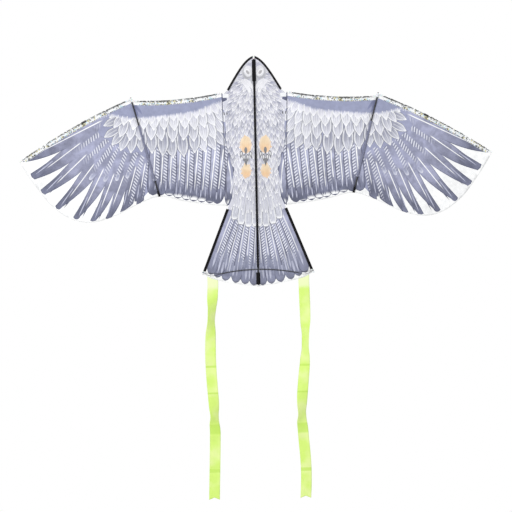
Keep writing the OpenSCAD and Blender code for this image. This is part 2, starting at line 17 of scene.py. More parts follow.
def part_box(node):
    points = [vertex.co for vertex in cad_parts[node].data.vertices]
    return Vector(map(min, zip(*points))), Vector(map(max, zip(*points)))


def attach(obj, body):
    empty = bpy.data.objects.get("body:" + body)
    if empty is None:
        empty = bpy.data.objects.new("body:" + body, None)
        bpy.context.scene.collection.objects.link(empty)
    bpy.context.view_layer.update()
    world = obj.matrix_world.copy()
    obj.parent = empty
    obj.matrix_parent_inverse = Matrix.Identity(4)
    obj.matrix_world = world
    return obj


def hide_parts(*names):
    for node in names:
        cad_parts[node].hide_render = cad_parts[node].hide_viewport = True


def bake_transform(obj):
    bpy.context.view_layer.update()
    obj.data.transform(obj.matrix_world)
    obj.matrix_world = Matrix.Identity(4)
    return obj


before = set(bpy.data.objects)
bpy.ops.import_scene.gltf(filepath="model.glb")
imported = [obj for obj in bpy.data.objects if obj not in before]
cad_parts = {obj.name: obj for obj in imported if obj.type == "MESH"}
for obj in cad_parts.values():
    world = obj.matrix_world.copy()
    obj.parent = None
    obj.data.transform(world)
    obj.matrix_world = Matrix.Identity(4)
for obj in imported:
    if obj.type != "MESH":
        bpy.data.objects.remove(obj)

log = logging.getLogger("kite")

Point = tuple[float, float]
Points = tuple[Point, ...]
Place = tuple[float, float, float]
Stroke = tuple[Point, Point, float]
Array = np.ndarray
Material = bpy.types.Material
AddNode = Callable[..., bpy.types.Node]
Inputs = dict[str, Any]
MM = 0.001
SAIL_Y = -11.0

# The setting that the word after a node's kind stands for, as in Math.ADD.
MODES = {"Math": "operation", "VectorMath": "operation", "MapRange": "interpolation_type",
         "TexWave": "bands_direction", "TexVoronoi": "voronoi_dimensions", "UVMap": "uv_map",
         "Attribute": "attribute_name"}
# The two kinds that come up most.
SMOOTH, TIMES = "MapRange.SMOOTHSTEP", "Math.MULTIPLY"


class Side(Enum):
    """A half of the kite, as someone who looks at the frame side sees it."""

    LEFT = -1
    RIGHT = 1

    @property
    def word(self) -> str:
        """The side's name in the node names."""
        return self.name.lower()


def linear(colour: str) -> tuple[float, float, float, float]:
    """Turns an sRGB colour, six hex digits after a hash, into linear red, green, blue and a full alpha."""
    parts = (int(colour[i:i + 2], 16) / 255 for i in (1, 3, 5))
    return (*(c / 12.92 if c <= 0.04045 else ((c + 0.055) / 1.055) ** 2.4 for c in parts), 1.0)


def wave_scale(pitch_mm: float) -> float:
    """The scale at which the bands of a wave texture lie a pitch apart."""
    return math.pi / 10 / (pitch_mm * MM)


def feed(node: bpy.types.Node, *inputs: Any, **named: Any) -> None:
    """Gives a node's inputs their values and links.

    Args:
        node: The node.
        *inputs: Values, sockets or whole nodes, from its first input on.
        **named: The same by the inputs' names, with underscores for the spaces.
    """
    for key, value in [*enumerate(inputs), *named.items()]:
        socket = node.inputs[key.replace("_", " ") if isinstance(key, str) else key]
        value = value.outputs[0] if isinstance(value, bpy.types.Node) else value
        if isinstance(value, bpy.types.NodeSocket):
            node.id_data.links.new(value, socket)
        else:
            socket.default_value = value


def add_node(tree: bpy.types.NodeTree, kind: str, *inputs: Any, **named: Any) -> bpy.types.Node:
    """Adds one shader node with its settings and links.

    Args:
        tree: The node tree it goes into.
        kind: The node's type without its first words, and after a dot its mode, if it has one.
        *inputs: What its first inputs take.
        **named: Further inputs by their names, which start with a capital, and settings, which don't.

    Returns:
        The new node.
    """
    word, _, mode = kind.partition(".")
    node = tree.nodes.new("ShaderNode" + word)
    if mode:
        setattr(node, MODES[word], mode)
    for name in [n for n in named if n.islower()]:
        setattr(node, name, named.pop(name))
    feed(node, *inputs, **named)
    return node


def add_mesh(name: str, points: Array, faces: Sequence[Sequence[int]],
             smooth: bool = True) -> bpy.types.Object:
    """Makes a mesh object from points in millimetres.

    Args:
        name: The piece's name.
        points: The places in the row frame, one row each.
        faces: The corners of each face.
        smooth: Whether its faces are shaded smooth.

    Returns:
        The object, linked to the scene.
    """
    mesh = bpy.data.meshes.new(name)
    mesh.from_pydata((np.asarray(points, float) * MM).tolist(), [], [list(map(int, f)) for f in faces])
    mesh.polygons.foreach_set("use_smooth", [smooth] * len(mesh.polygons))
    thing = bpy.data.objects.new(name, mesh)
    bpy.context.scene.collection.objects.link(thing)
    log.info("%s made with %d faces", name, len(faces))
    return thing


def add_uv(mesh: bpy.types.Mesh, layer: str, places: Sequence[Point]) -> None:
    """Gives a mesh a layer of flat coordinates, from where each of its points lies."""
    for loop, corner in zip(mesh.loops, mesh.uv_layers.new(name=layer).data):
        corner.uv = places[loop.vertex_index]


def grid_faces(rows: int, columns: int) -> list[tuple[int, ...]]:
    """The corners of each face of a grid, whose points are listed row by row, from its faces each way."""
    n = columns + 1
    return [(i * n + k, i * n + k + 1, (i + 1) * n + k + 1, (i + 1) * n + k)
            for i in range(rows) for k in range(columns)]


def unit(v: Array) -> Array:
    """The direction of a vector."""
    return v / np.linalg.norm(v)


def left_of(v: Array) -> Array:
    """The flat vector turned a quarter to the left."""
    return np.array([-v[1], v[0]])


def heading(degrees: float) -> Array:
    """The flat direction at an angle from +X towards +Z."""
    return np.array([math.cos(math.radians(degrees)), math.sin(math.radians(degrees))])


def beyond(foot: Point, head: Point, places: Array) -> Array:
    """How far places lie to the right of the line from foot to head, less than zero to its left."""
    return (places - np.array(foot)) @ -left_of(unit(np.array(head) - np.array(foot)))


def ramp(low: float, high: float, x: Array) -> Array:
    """A smooth rise from 0 at low to 1 at high."""
    t = np.clip((x - low) / (high - low), 0, 1)
    return t * t * (3 - 2 * t)


def ramps(spans: Sequence[Point], distances: Sequence[Array]) -> Array:
    """The product of smooth rises, one over each span of its distances."""
    return math.prod(ramp(low, high, x) for (low, high), x in zip(spans, distances))


def curve_through(points: Sequence[Any], steps: int) -> Array:
    """A smooth curve through all the points.

    Args:
        points: The places it passes through.
        steps: How many pieces each stretch is cut into.

    Returns:
        The curve's points, one row each.
    """
    p = np.array([points[0], *points, points[-1]], float)
    rows = []
    for i in range(1, len(p) - 2):
        for k in range(steps):
            t = k / steps
            rows.append(0.5 * (2 * p[i] + (p[i + 1] - p[i - 1]) * t
                               + (2 * p[i - 1] - 5 * p[i] + 4 * p[i + 1] - p[i + 2]) * t * t
                               + (3 * p[i] - p[i - 1] - 3 * p[i + 1] + p[i + 2]) * t ** 3))
    return np.array([*rows, p[-1]])


def lengths(line: Array) -> Array:
    """The length along a polyline to each of its points."""
    return np.concatenate([[0], np.cumsum(np.linalg.norm(np.diff(line, axis=0), axis=1))])


def point_at(line: Array, long: Array, s: float) -> Array:
    """The place on a polyline, whose points lie at the lengths in long, at the length s."""
    return np.array([np.interp(s, long, column) for column in line.T])


def distance_to(line: Array, places: Array) -> tuple[Array, Array]:
    """How far each place is from a polyline, and where along it.

    Args:
        line: The polyline's points.
        places: The places, one row each.

    Returns:
        The distances, and the lengths along the line to the nearest points.
    """
    best = np.full(len(places), np.inf)
    along = np.zeros(len(places))
    done = 0.0
    for a, b in zip(line[:-1], line[1:]):
        way = b - a
        size = np.linalg.norm(way)
        t = np.clip(((places - a) @ way) / max(size * size, 1e-9), 0, 1)
        far = np.linalg.norm(places - a - t[:, None] * way, axis=1)
        nearer = far < best
        best = np.where(nearer, far, best)
        along = np.where(nearer, done + t * size, along)
        done += size
    return best, along


def inside(outline: Array, places: Array) -> Array:
    """Tells which places lie inside a closed outline.

    Args:
        outline: The outline's points.
        places: The places, one row each.

    Returns:
        True for each place inside.
    """
    found = np.zeros(len(places), bool)
    for a, b in zip(outline, np.roll(outline, -1, axis=0)):
        crosses = (a[1] > places[:, 1]) != (b[1] > places[:, 1])
        rise = b[1] - a[1] if b[1] != a[1] else 1e-12
        found ^= crosses & (places[:, 0] < a[0] + (places[:, 1] - a[1]) / rise * (b[0] - a[0]))
    return found


@dataclass(frozen=True)
class Finish:
    """What every finish shares: its name, its shader's even values and the way its material is made."""

    name: str
    EVEN: ClassVar[dict[str, float]] = {}

    def make(self) -> Material:
        """Makes the material from the even values and from what is drawn.

        Returns:
            The material.
        """
        material = bpy.data.materials.new(self.name)
        material.use_nodes = True
        shader = material.node_tree.nodes["Principled BSDF"]
        feed(shader, **self.EVEN, **self.draw(partial(add_node, material.node_tree)))
        return material

    def draw(self, add: AddNode) -> Inputs:
        """Draws what feeds the shader, by its inputs' names with underscores for the spaces."""
        raise NotImplementedError


class FeatherInk:
    """What the mesh says about the feather at each place of the cloth, as sockets to draw with.

    Across runs from -1 to 1 and along from 0 to 1. Beside, aside, down and short are millimetres: from the
    quill, from the base and from the tip. The rest are the strengths and spans of the feather's print.
    """

    def __init__(self, add: AddNode) -> None:
        """Adds the nodes that read the mesh.

        Args:
            add: Adds a node.
        """
        share, place = (add("SeparateXYZ", add(f"UVMap.feather_{word}")).outputs for word in ("share", "mm"))
        self.across, self.along = share[0], share[1]
        self.beside, self.down = place[0], place[1]
        self.edge, self.aside = add("Math.ABSOLUTE", self.across), add("Math.ABSOLUTE", self.beside)
        self.short = add("Math.SUBTRACT", add("Math.DIVIDE", self.down, self.along), self.down)
        self.tone, self.shade, marks, spans = (
            add(f"Attribute.{word}") for word in ("tone", "shade", "marks", "spans"))
        self.rim, self.bare_end = self.tone.outputs["Alpha"], self.shade.outputs["Alpha"]
        self.hatch, self.quill, self.dark = add("SeparateColor", marks).outputs[:3]
        self.hatch_to, self.quill_from, self.quill_to = add("SeparateColor", spans).outputs[:3]
        self.line, self.hatch_mm = marks.outputs["Alpha"], spans.outputs["Alpha"]


@dataclass(frozen=True)
class PrintedPolyester(Finish):
    """Plain-weave polyester with a transfer print: matt, thin, with thread just showing.

    The ink takes a fine cross of threads, so colours look a little broken up close and soft from afar.
    """

    name: str = "polyester_plain_weave_printed"
    thread_mm: float = 0.9
    hatch_slope: float = 0.6
    barb_mm: float = 2.3
    barb_slope: float = 1.1
    fan_waves: float = 17.0
    quill_mm: float = 1.7
    bare_mm: float = 16.0
    rim: str = "#fcfdff"
    pale: str = "#e9ebf6"
    dark: str = "#666a80"
    line: str = "#606278"
    EVEN = {"Roughness": 0.8, "Sheen_Weight": 0.08, "Sheen_Roughness": 0.5, "Specular_IOR_Level": 0.25}

    def draw(self, add: AddNode) -> Inputs:
        """Draws the print, uneven ink with broad clouds of painted shade, and the threads.

        Args:
            add: Adds a node.

        Returns:
            The colour and the threads' relief.
        """
        where = add("TexCoord").outputs["Object"]
        feather = FeatherInk(add)
        ink = self.strokes(add, feather, self.vanes(add, feather, where))
        # Real thread lies about 0.3 mm apart: it is drawn three times coarser so that it shows.
        size = {"Vector": where, "Scale": wave_scale(self.thread_mm)}
        cloth = add("Math.ADD", *(add(f"TexWave.{way}", **size).outputs["Fac"] for way in "XZ"))
        # Threads, broad clouds and small specks each lighten and darken the ink by a few hundredths; the broad
        # ones are ink stains and painted shade of the cloth's soft wrinkles.
        stain_and_shade = add("TexNoise", Vector=where, Scale=16.0, Detail=4.0)
        speck = add("TexNoise", Vector=where, Scale=130.0, Detail=3.0)
        grain = add("MapRange", cloth, 0.0, 2.0, 0.97, 1.02)
        for part in (add("MapRange", stain_and_shade, 0.32, 0.66, 0.95, 1.03),
                     add("MapRange", speck, 0.3, 0.7, 0.93, 1.06)):
            grain = add(TIMES, grain, part)
        return {"Base_Color": add("VectorMath.MULTIPLY", ink, grain),
                "Normal": add("Bump", Strength=0.25, Distance=0.0002, Height=cloth)}

    def vanes(self, add: AddNode, feather: FeatherInk, where: bpy.types.NodeSocket) -> bpy.types.Node:
        """Draws each feather's ground: base to tip colour, barbs, dark tip and pale rim.

        Args:
            add: Adds a node.
            feather: What the mesh says about the feather.
            where: The place on the cloth.

        Returns:
            The node with the colour so far.
        """
        rise = add(SMOOTH, feather.along, 0.25, 0.85)
        ink = add("MixRGB", rise, feather.shade, feather.tone)
        # Fine barbs slant back from the quill, and rimmed feathers have a few broad rays as well.
        slant = add("Math.MULTIPLY_ADD", feather.aside, -self.barb_slope, feather.down)
        barb = add("Math.SINE", add(TIMES, slant, math.tau / self.barb_mm))
        barb = add("MapRange", barb, -1.0, 1.0, 0.94, 1.05)
        fan = add("Math.SINE", add(TIMES, feather.across, self.fan_waves))
        fan = add("MapRange", fan, -1.0, 1.0, -0.22, 0.04)
        ink = add("VectorMath.MULTIPLY", ink, add("Math.MULTIPLY_ADD", fan, feather.rim, barb))
        # Feathers with a dark tip are also blotched.
        tip = add(SMOOTH, feather.along, 0.45, 0.92)
        ink = add("MixRGB", add(TIMES, tip, feather.dark), ink, linear(self.dark))
        cloud = add("TexNoise", Vector=where, Scale=30.0, Detail=4.0, Distortion=0.6)
        blot = add("MapRange", cloud, 0.38, 0.62, -0.3, 0.22)
        ink = add("VectorMath.MULTIPLY", ink, add("Math.MULTIPLY_ADD", blot, feather.dark, 1.0))
        # The rim pales from half way out, and over the last millimetres before the tip.
        rim = add(SMOOTH, feather.edge, 0.5, 0.86)
        end = add(SMOOTH, feather.along, 0.72, 0.95)
        end = add("Math.MINIMUM", end, add(SMOOTH, feather.short, 11.0, 3.0))
        rim = add(TIMES, add("Math.MAXIMUM", rim, end), feather.rim)
        return add("MixRGB", rim, ink, linear(self.rim))

    def strokes(self, add: AddNode, feather: FeatherInk, ink: bpy.types.Node) -> bpy.types.Node:
        """Draws the fine strokes on top: the slanting hatch, the quill, the bare end and the outline.

        Args:
            add: Adds a node.
            feather: What the mesh says about the feather.
            ink: The colour below.

        Returns:
            The node with the finished print.
        """
        # Pale strokes on a darker strip, which is the outer part of one vane.
        strip = add(SMOOTH, feather.across, -0.26, -0.34)
        outer = add(SMOOTH, feather.across, -0.98, -0.93)
        ends = add("Math.SUBTRACT", feather.along, feather.hatch_to)
        ends = add(SMOOTH, ends, 0.1, -0.1)
        for part in (outer, ends, feather.hatch):
            strip = add(TIMES, strip, part)
        ink = add("MixRGB", add(TIMES, strip, 0.45), ink, linear(self.dark))
        sweep = add("Math.MULTIPLY_ADD", feather.beside, self.hatch_slope, feather.down)
        sweep = add("Math.DIVIDE", sweep, feather.hatch_mm)
        hatch = add("Math.SINE", add(TIMES, sweep, math.tau))
        hatch = add(SMOOTH, hatch, -0.15, 0.25)
        ink = add("MixRGB", add(TIMES, hatch, strip), ink, linear(self.pale))
        # The quill thins to less than half on its way.
        taper = add("MapRange", feather.along, 0.2, 0.9, self.quill_mm, self.quill_mm * 0.45)
        quill = add(SMOOTH, add("Math.DIVIDE", feather.aside, taper), 1.0, 0.7)
        fade = add(SMOOTH, add("Math.SUBTRACT", feather.along, feather.quill_to), 0.05, -0.05)
        begin = add(SMOOTH, add("Math.SUBTRACT", feather.along, feather.quill_from), -0.02, 0.03)
        for part in (fade, begin, feather.quill):
            quill = add(TIMES, quill, part)
        ink = add("MixRGB", quill, ink, linear(self.rim))
        # The bare end is white, with a rounded upper edge.
        bend = add(TIMES, add(TIMES, feather.edge, feather.edge), feather.bare_end)
        bend = add("Math.MULTIPLY_ADD", bend, self.bare_mm * 0.2, feather.short)
        reach = [add(TIMES, feather.bare_end, self.bare_mm * part) for part in (0.95, 0.4)]
        ink = add("MixRGB", add(SMOOTH, bend, *reach), ink, linear(self.rim))
        # The outline runs along both edges, round the tip and at the foot of a bare end.
        line = add(SMOOTH, feather.edge, 0.82, 0.9)
        line = add("Math.MAXIMUM", line, add(SMOOTH, feather.along, 0.966, 0.98))
        foot = add(SMOOTH, feather.short, 4.2, 2.6)
        line = add("Math.MAXIMUM", line, add(TIMES, foot, feather.bare_end))
        return add("MixRGB", add(TIMES, line, feather.line), ink, linear(self.line))


@dataclass(frozen=True)
class WovenTape(Finish):
    """Polyester tape, woven in a close rib: dull black, a little grey where the ribs catch light."""

    name: str = "polyester_tape_woven"
    deep: str = "#070609"
    # The grey of rubbed patches, and a painted highlight on the ribs.
    sheen_and_wear_grey: str = "#1f1d24"
    rib_mm: float = 1.3
    EVEN = {"Roughness": 0.85, "Sheen_Weight": 0.03, "Sheen_Roughness": 0.45, "Specular_IOR_Level": 0.2}

    def draw(self, add: AddNode) -> Inputs:
        """Draws the ribs, and a grey bloom from rubbing that is also a painted highlight where the ribs catch
        light.

        Args:
            add: Adds a node.

        Returns:
            The colour and the ribs' relief.
        """
        where = add("TexCoord").outputs["Object"]
        # The real rib is about 0.5 mm: it is drawn coarser so that it shows.
        size = {"Vector": where, "Scale": wave_scale(self.rib_mm), "Distortion": 0.6, "Detail_Scale": 2.0}
        weave = add(TIMES, *(add(f"TexWave.{way}", **size).outputs["Fac"] for way in ("DIAGONAL", "Z")))
        # Grey over rubbed patches, strongest on the ribs: partly rubbing, partly a painted highlight where the
        # ribs catch light.
        cloud = add("TexNoise", Vector=where, Scale=60.0, Detail=4.0)
        wear_and_rib_sheen = add(TIMES, add("MapRange", cloud, 0.35, 0.75, 0.15, 0.8), weave)
        return {"Base_Color": add("MixRGB", wear_and_rib_sheen, linear(self.deep), linear(self.sheen_and_wear_grey)),
                "Normal": add("Bump", Strength=0.5, Distance=0.0003, Height=weave)}


@dataclass(frozen=True)
class PultrudedRod(Finish):
    """Glass fibre in resin, drawn through a die: satin black with fine streaks along the rod."""

    name: str = "glass_fibre_pultruded"
    way: Place = (0.0, 0.0, 1.0)
    resin: str = "#08080a"
    fibre: str = "#26252b"
    streak_mm: float = 0.5
    drawn_out: float = 0.97
    EVEN = {"IOR": 1.55}

    def draw(self, add: AddNode) -> Inputs:
        """Draws the streaks, drawn out along the rod.

        Args:
            add: Adds a node.

        Returns:
            The colour, the gloss and the streaks' relief.
        """
        where = add("TexCoord").outputs["Object"]
        ahead = add("VectorMath.DOT_PRODUCT", where, self.way).outputs["Value"]
        back = add("VectorMath.SCALE", self.way, Scale=add(TIMES, ahead, -self.drawn_out))
        streak = add("TexNoise", Vector=add("VectorMath.ADD", where, back), Scale=1 / (self.streak_mm * MM),
                     Detail=5.0)
        tint = add("MapRange", streak, 0.4, 0.8)
        return {"Base_Color": add("MixRGB", tint, linear(self.resin), linear(self.fibre)),
                "Roughness": add("MapRange", streak, 0.3, 0.7, 0.3, 0.46),
                "Normal": add("Bump", Strength=0.2, Distance=0.0001, Height=streak)}


@dataclass(frozen=True)
class SoftPlastic(Finish):
    """Dipped or moulded plastic: an even skin with faint clouds and an orange-peel gloss."""

    name: str = "vinyl_soft_moulded"
    body: str = "#eceef0"
    cloud: str = "#dadde0"
    low: float = 0.3
    high: float = 0.42
    glow: float = 0.15
    EVEN = {"IOR": 1.52, "Subsurface_Scale": 0.002}

    def draw(self, add: AddNode) -> Inputs:
        """Draws the clouds and the orange peel.

        Args:
            add: Adds a node.

        Returns:
            The colour, the glow from within, the gloss and the peel's relief.
        """
        where = add("TexCoord").outputs["Object"]
        cloud = add("TexNoise", Vector=where, Scale=220.0, Detail=3.0)
        peel = add("TexNoise", Vector=where, Scale=1400.0, Detail=2.0)
        return {"Base_Color": add("MixRGB", cloud, linear(self.body), linear(self.cloud)),
                "Subsurface_Weight": self.glow,
                "Roughness": add("MapRange", cloud, 0.0, 1.0, self.low, self.high),
                "Normal": add("Bump", Strength=0.15, Distance=0.0001, Height=peel)}


@dataclass(frozen=True)
class TwistedThread(Finish):
    """Thread laid from twisted plies: matt, with a painted highlight and painted shade that turn slantwise along
    it.
    """

    name: str = "polyester_thread_twisted"
    # The plies' painted highlight and painted shade.
    light: str = "#3a3840"
    deep: str = "#121116"
    lay_mm: float = 0.9
    EVEN = {"Roughness": 0.7, "Sheen_Weight": 0.1}

    def draw(self, add: AddNode) -> Inputs:
        """Draws the plies' slanting turn as painted highlight and painted shade.

        Args:
            add: Adds a node.

        Returns:
            The colour and the plies' relief.
        """
        where = add("TexCoord").outputs["Object"]
        ply = add("TexWave.DIAGONAL", Vector=where, Scale=wave_scale(self.lay_mm), Distortion=0.4).outputs["Fac"]
        # The plies are painted light on their crowns and dark between them: painted highlight and painted shade.
        turn = add(TIMES, ply, add("TexNoise", Vector=where, Scale=900.0))
        return {"Base_Color": add("MixRGB", turn, linear(self.deep), linear(self.light)),
                "Normal": add("Bump", Strength=0.5, Distance=0.0002, Height=ply)}


@dataclass(frozen=True)
class PressedBrass(Finish):
    """Brass strip pressed into an eyelet: warm metal, polished by the punch, duller in the hollows."""

    name: str = "brass_pressed"
    bright: str = "#d8b873"
    dull: str = "#a98a4e"
    EVEN = {"Metallic": 1.0}

    def draw(self, add: AddNode) -> Inputs:
        """Draws the rubbed and the dull places, as colour and gloss."""
        rub = add("TexNoise", Vector=add("TexCoord").outputs["Object"], Scale=500.0, Detail=5.0)
        return {"Base_Color": add("MixRGB", rub, linear(self.bright), linear(self.dull)),
                "Roughness": add("MapRange", rub, 0.0, 1.0, 0.18, 0.42)}


@dataclass(frozen=True)
class PlainCloth(Finish):
    """Plain-weave polyester in one colour, heat cut: matt and even with its threads just showing."""

    name: str = "polyester_plain_weave_white"
    high: str = "#f6f7f9"
    low: str = "#dcdfe5"
    thread_mm: float = 0.9
    EVEN = {"Roughness": 0.85, "Sheen_Weight": 0.1}

    def draw(self, add: AddNode) -> Inputs:
        """Draws the threads.

        Args:
            add: Adds a node.

        Returns:
            The colour and the threads' relief.
        """
        # Real thread lies about 0.3 mm apart: it is drawn three times coarser so that it shows.
        size = {"Vector": add("TexCoord").outputs["Object"], "Scale": wave_scale(self.thread_mm)}
        cloth = add("Math.MAXIMUM", *(add(f"TexWave.{way}", **size).outputs["Fac"] for way in "XZ"))
        return {"Base_Color": add("MixRGB", cloth, linear(self.low), linear(self.high)),
                "Normal": add("Bump", Strength=0.3, Distance=0.0002, Height=cloth)}


@dataclass(frozen=True)
class IridescentFilm(Finish):
    """Clear polyester film, vacuum coated and crackle embossed: small flakes flash white, blue and gold.

    Round the rod it is clear enough to show it, and where two layers lie on the cloth it is pale.
    """

    name: str = "polyester_film_iridescent"
    flake_mm: float = 3.4
    # Pale, with shares of blue, gold, grey and deep olive flakes.
    stops: tuple[tuple[float, str], ...] = (
        (0.0, "#f6f8fa"), (0.4, "#c6e2ee"), (0.5, "#f6f8fa"), (0.62, "#ddd7a8"), (0.72, "#f6f8fa"),
        (0.82, "#9a9fa6"), (0.91, "#6b6d63"))
    EVEN = {"Roughness": 0.16, "IOR": 1.6, "Coat_Weight": 0.4}

    def draw(self, add: AddNode) -> Inputs:
        """Draws the flakes and the change from clear to pale.

        Args:
            add: Adds a node.

        Returns:
            The colour, how solid it is and the flakes' relief.
        """
        place = add("UVMap.film_mm")
        flake = add("TexVoronoi.2D", Vector=place, Scale=1 / self.flake_mm)
        pick = add("SeparateColor", flake.outputs["Color"])
        tint = add("ValToRGB", pick)
        tint.color_ramp.interpolation = "CONSTANT"
        for at, _ in self.stops[1:-1]:
            tint.color_ramp.elements.new(at)
        for stop, (at, colour) in zip(tint.color_ramp.elements, self.stops):
            stop.position, stop.color = at, linear(colour)
        # It turns pale between 1 and 4 mm behind the rod; some flakes and some stretches flash all round.
        depth = add("SeparateXYZ", place)
        solid = add(SMOOTH, depth, 1.0, 4.0, 0.08, 0.94)
        flash = add("MapRange", pick.outputs[1], 0.74, 0.78, 0.0, 0.75)
        sheen = add("MapRange", add("TexNoise", Vector=place, Scale=0.016, Detail=1.0), 0.5, 0.66, 0.0, 0.6)
        for part in (flash, sheen):
            solid = add("Math.ADD", solid, part, use_clamp=True)
        return {"Base_Color": tint, "Alpha": solid,
                "Normal": add("Bump", Strength=0.6, Distance=0.0004, Height=pick.outputs[2])}


@dataclass(frozen=True)
class TaffetaRibbon(Finish):
    """Nylon taffeta ribbon in a fluorescent yellow-green: smooth, thin, with fine ribs, painted shade where it
    folds and a painted highlight at its top.
    """

    name: str = "nylon_taffeta_fluorescent"
    bright: str = "#d8f879"
    pale: str = "#e8fb9f"
    # Painted shade in bands at the folds, and a painted highlight over the hem at the top.
    fold: str = "#c2e85c"
    hem: str = "#f4fecb"
    rib_mm: float = 1.4
    fold_shade_bands_mm: Points = ((336.0, 14.0), (433.0, 5.0), (190.0, 3.0), (252.0, 2.5))
    EVEN = {"Roughness": 0.55, "Sheen_Weight": 0.15, "Sheen_Roughness": 0.4}

    def draw(self, add: AddNode) -> Inputs:
        """Draws the ribs, the pale stretches, bands of painted shade at the folds and a painted highlight over the
        hem.

        Args:
            add: Adds a node.

        Returns:
            The colour and the ribs' relief.
        """
        place = add("UVMap.ribbon_mm")
        down = add("SeparateXYZ", place).outputs[1]
        cloud = add("TexNoise", Vector=place, Scale=0.022, Detail=2.0)
        tint = add("MapRange", cloud, 0.42, 0.62)
        tint = add("MixRGB", tint, linear(self.bright), linear(self.pale))
        # A band of painted shade at each fold.
        for middle, reach in self.fold_shade_bands_mm:
            off = add("Math.ABSOLUTE", add("Math.SUBTRACT", down, middle))
            band = add(SMOOTH, off, reach, reach * 0.6, 0.0, 0.75)
            tint = add("MixRGB", band, tint, linear(self.fold))
        # A painted highlight over the top, where the hem is.
        top = add(SMOOTH, down, 14.0, 2.0, 0.0, 0.8)
        tint = add("MixRGB", top, tint, linear(self.hem))
        # The real rib is about 0.3 mm: it is drawn coarser so that it shows.
        rib = add("Math.SINE", add(TIMES, down, math.tau / self.rib_mm))
        light = add("MapRange", rib, -1.0, 1.0, 0.965, 1.02)
        return {"Base_Color": add("VectorMath.MULTIPLY", tint, light),
                "Normal": add("Bump", Strength=0.25, Distance=0.0002, Height=rib)}


@dataclass(frozen=True)
class PaintedFloor(Finish):
    """A floor rolled with pale matt paint: almost white, with faint clouds."""

    name: str = "pale_painted_floor"
    low: str = "#f2f2f1"
    high: str = "#f7f7f6"
    EVEN = {"Roughness": 0.9}

    def draw(self, add: AddNode) -> Inputs:
        """Draws the clouds, which are all that feeds the shader."""
        cloud = add("TexNoise", Scale=9.0, Detail=4.0)
        return {"Base_Color": add("MixRGB", cloud, linear(self.low), linear(self.high))}


class Silhouette(Enum):
    """How wide a printed feather is on its way from base to tip, as places and shares of its width."""

    POINTED = (
        (0.0, 0.74), (0.25, 0.95), (0.46, 1.0), (0.62, 0.92), (0.76, 0.66), (0.87, 0.36), (0.95, 0.14),
        (1.0, 0.02))
    ROUNDED = ((0.0, 0.8), (0.4, 0.96), (0.78, 1.0), (0.88, 0.95), (0.94, 0.78), (0.98, 0.48), (1.0, 0.08))
    BLUNT = ((0.0, 0.82), (0.3, 0.98), (0.6, 1.0), (0.78, 0.9), (0.9, 0.66), (0.97, 0.36), (1.0, 0.05))
    OVAL = ((0.0, 0.05), (0.06, 0.47), (0.2, 0.8), (0.5, 1.0), (0.8, 0.8), (0.94, 0.47), (1.0, 0.05))
    CLAW = ((0.0, 0.3), (0.2, 0.9), (0.4, 1.0), (0.65, 0.6), (0.85, 0.25), (1.0, 0.03))

    def width(self, along: Array) -> Array:
        """The share of the full width at each place along the feather."""
        return np.interp(along, *zip(*self.value))


@dataclass(frozen=True)
class FeatherLook:
    """How one kind of feather is printed.

    Strengths run from 0 to 1: the pale rim, the slanting hatch of one vane, the quill, the dark tip, the thin
    line round it and the bare end past the dark tip. Spread is how far its lightness strays.
    """

    tone: str
    shade: str
    rim: float = 0.0
    hatch: float = 0.0
    quill: float = 0.0
    dark: float = 0.0
    line: float = 0.0
    bare_end: float = 0.0
    spread: float = 0.03


@dataclass(frozen=True)
class Feather:
    """One printed shape: a quill from base to tip, with an outline round it, in X and Z millimetres."""

    base: Point
    tip: Point
    half_width: float
    look: FeatherLook
    silhouette: Silhouette = Silhouette.ROUNDED
    bow: float = 0.0
    cut: Points = ()
    hatch_to: float = 0.72
    quill_from: float = 0.1
    quill_to: float = 0.79
    hatch_mm: float = 7.0
    # Every outline also has points here, and every quill line has its points there.
    EDGE_STOPS: ClassVar[set[float]] = {0.15, 0.35}
    QUILL_STOPS: ClassVar[tuple[float, ...]] = (0.04, 0.25, 0.5, 0.75, 0.95)
    LEAST_HALF: ClassVar[float] = 0.4

    @property
    def way(self) -> Array:
        """The vector from base to tip."""
        return np.array(self.tip) - np.array(self.base)

    def bend(self, along: Any) -> Any:
        """How far a bowed quill lies to the left of its straight way, at shares of that way."""
        return 4 * self.bow * along * (1 - along) * np.linalg.norm(self.way)

    def at(self, along: float, beside: float) -> Array:
        """A place on the feather.

        Args:
            along: The share of the way from base to tip.
            beside: The share of the half width, to the left of that way.

        Returns:
            The place in X and Z.
        """
        wide = self.half_width * float(self.silhouette.width(np.array(along)))
        side = left_of(unit(self.way))
        return np.array(self.base) + self.way * along + side * (self.bend(along) + beside * wide)

    def outline(self) -> Array:
        """Draws the outline.

        Returns:
            Its points, anticlockwise unless its outline was given.
        """
        if self.cut:
            return np.array(self.cut)
        stops = sorted({p[0] for p in self.silhouette.value} | self.EDGE_STOPS)
        return np.array([self.at(v, -1) for v in stops] + [self.at(v, 1) for v in reversed(stops)])

    def quill_line(self) -> Array:
        """The quill's points, from near the base to near the tip."""
        return np.array([self.at(v, 0) for v in self.QUILL_STOPS])

    def local(self, places: Array) -> tuple[Array, Array]:
        """Where places lie on the feather.

        Args:
            places: The places in X and Z, one row each.

        Returns:
            Shares across and along it, and the same in millimetres.
        """
        ahead = unit(self.way)
        q = places - np.array(self.base)
        down = q @ ahead
        along = np.clip(down / np.linalg.norm(self.way), 0, 1)
        beside = q @ left_of(ahead) - self.bend(along)
        wide = self.half_width * (np.ones(len(along)) if self.cut else self.silhouette.width(along))
        across = np.clip(beside / np.maximum(wide, self.LEAST_HALF), -1, 1)
        return np.stack([across, along], axis=1), np.stack([beside, down], axis=1)


@dataclass(frozen=True)
class Slivers:
    """A row of thin strokes that end near an edge: their spread and the ranges of their sizes, in millimetres."""

    count: int
    first: float
    step: float
    jitter: float
    rise: Point
    length: Point
    half_width: Point
    look: str
    seed: int


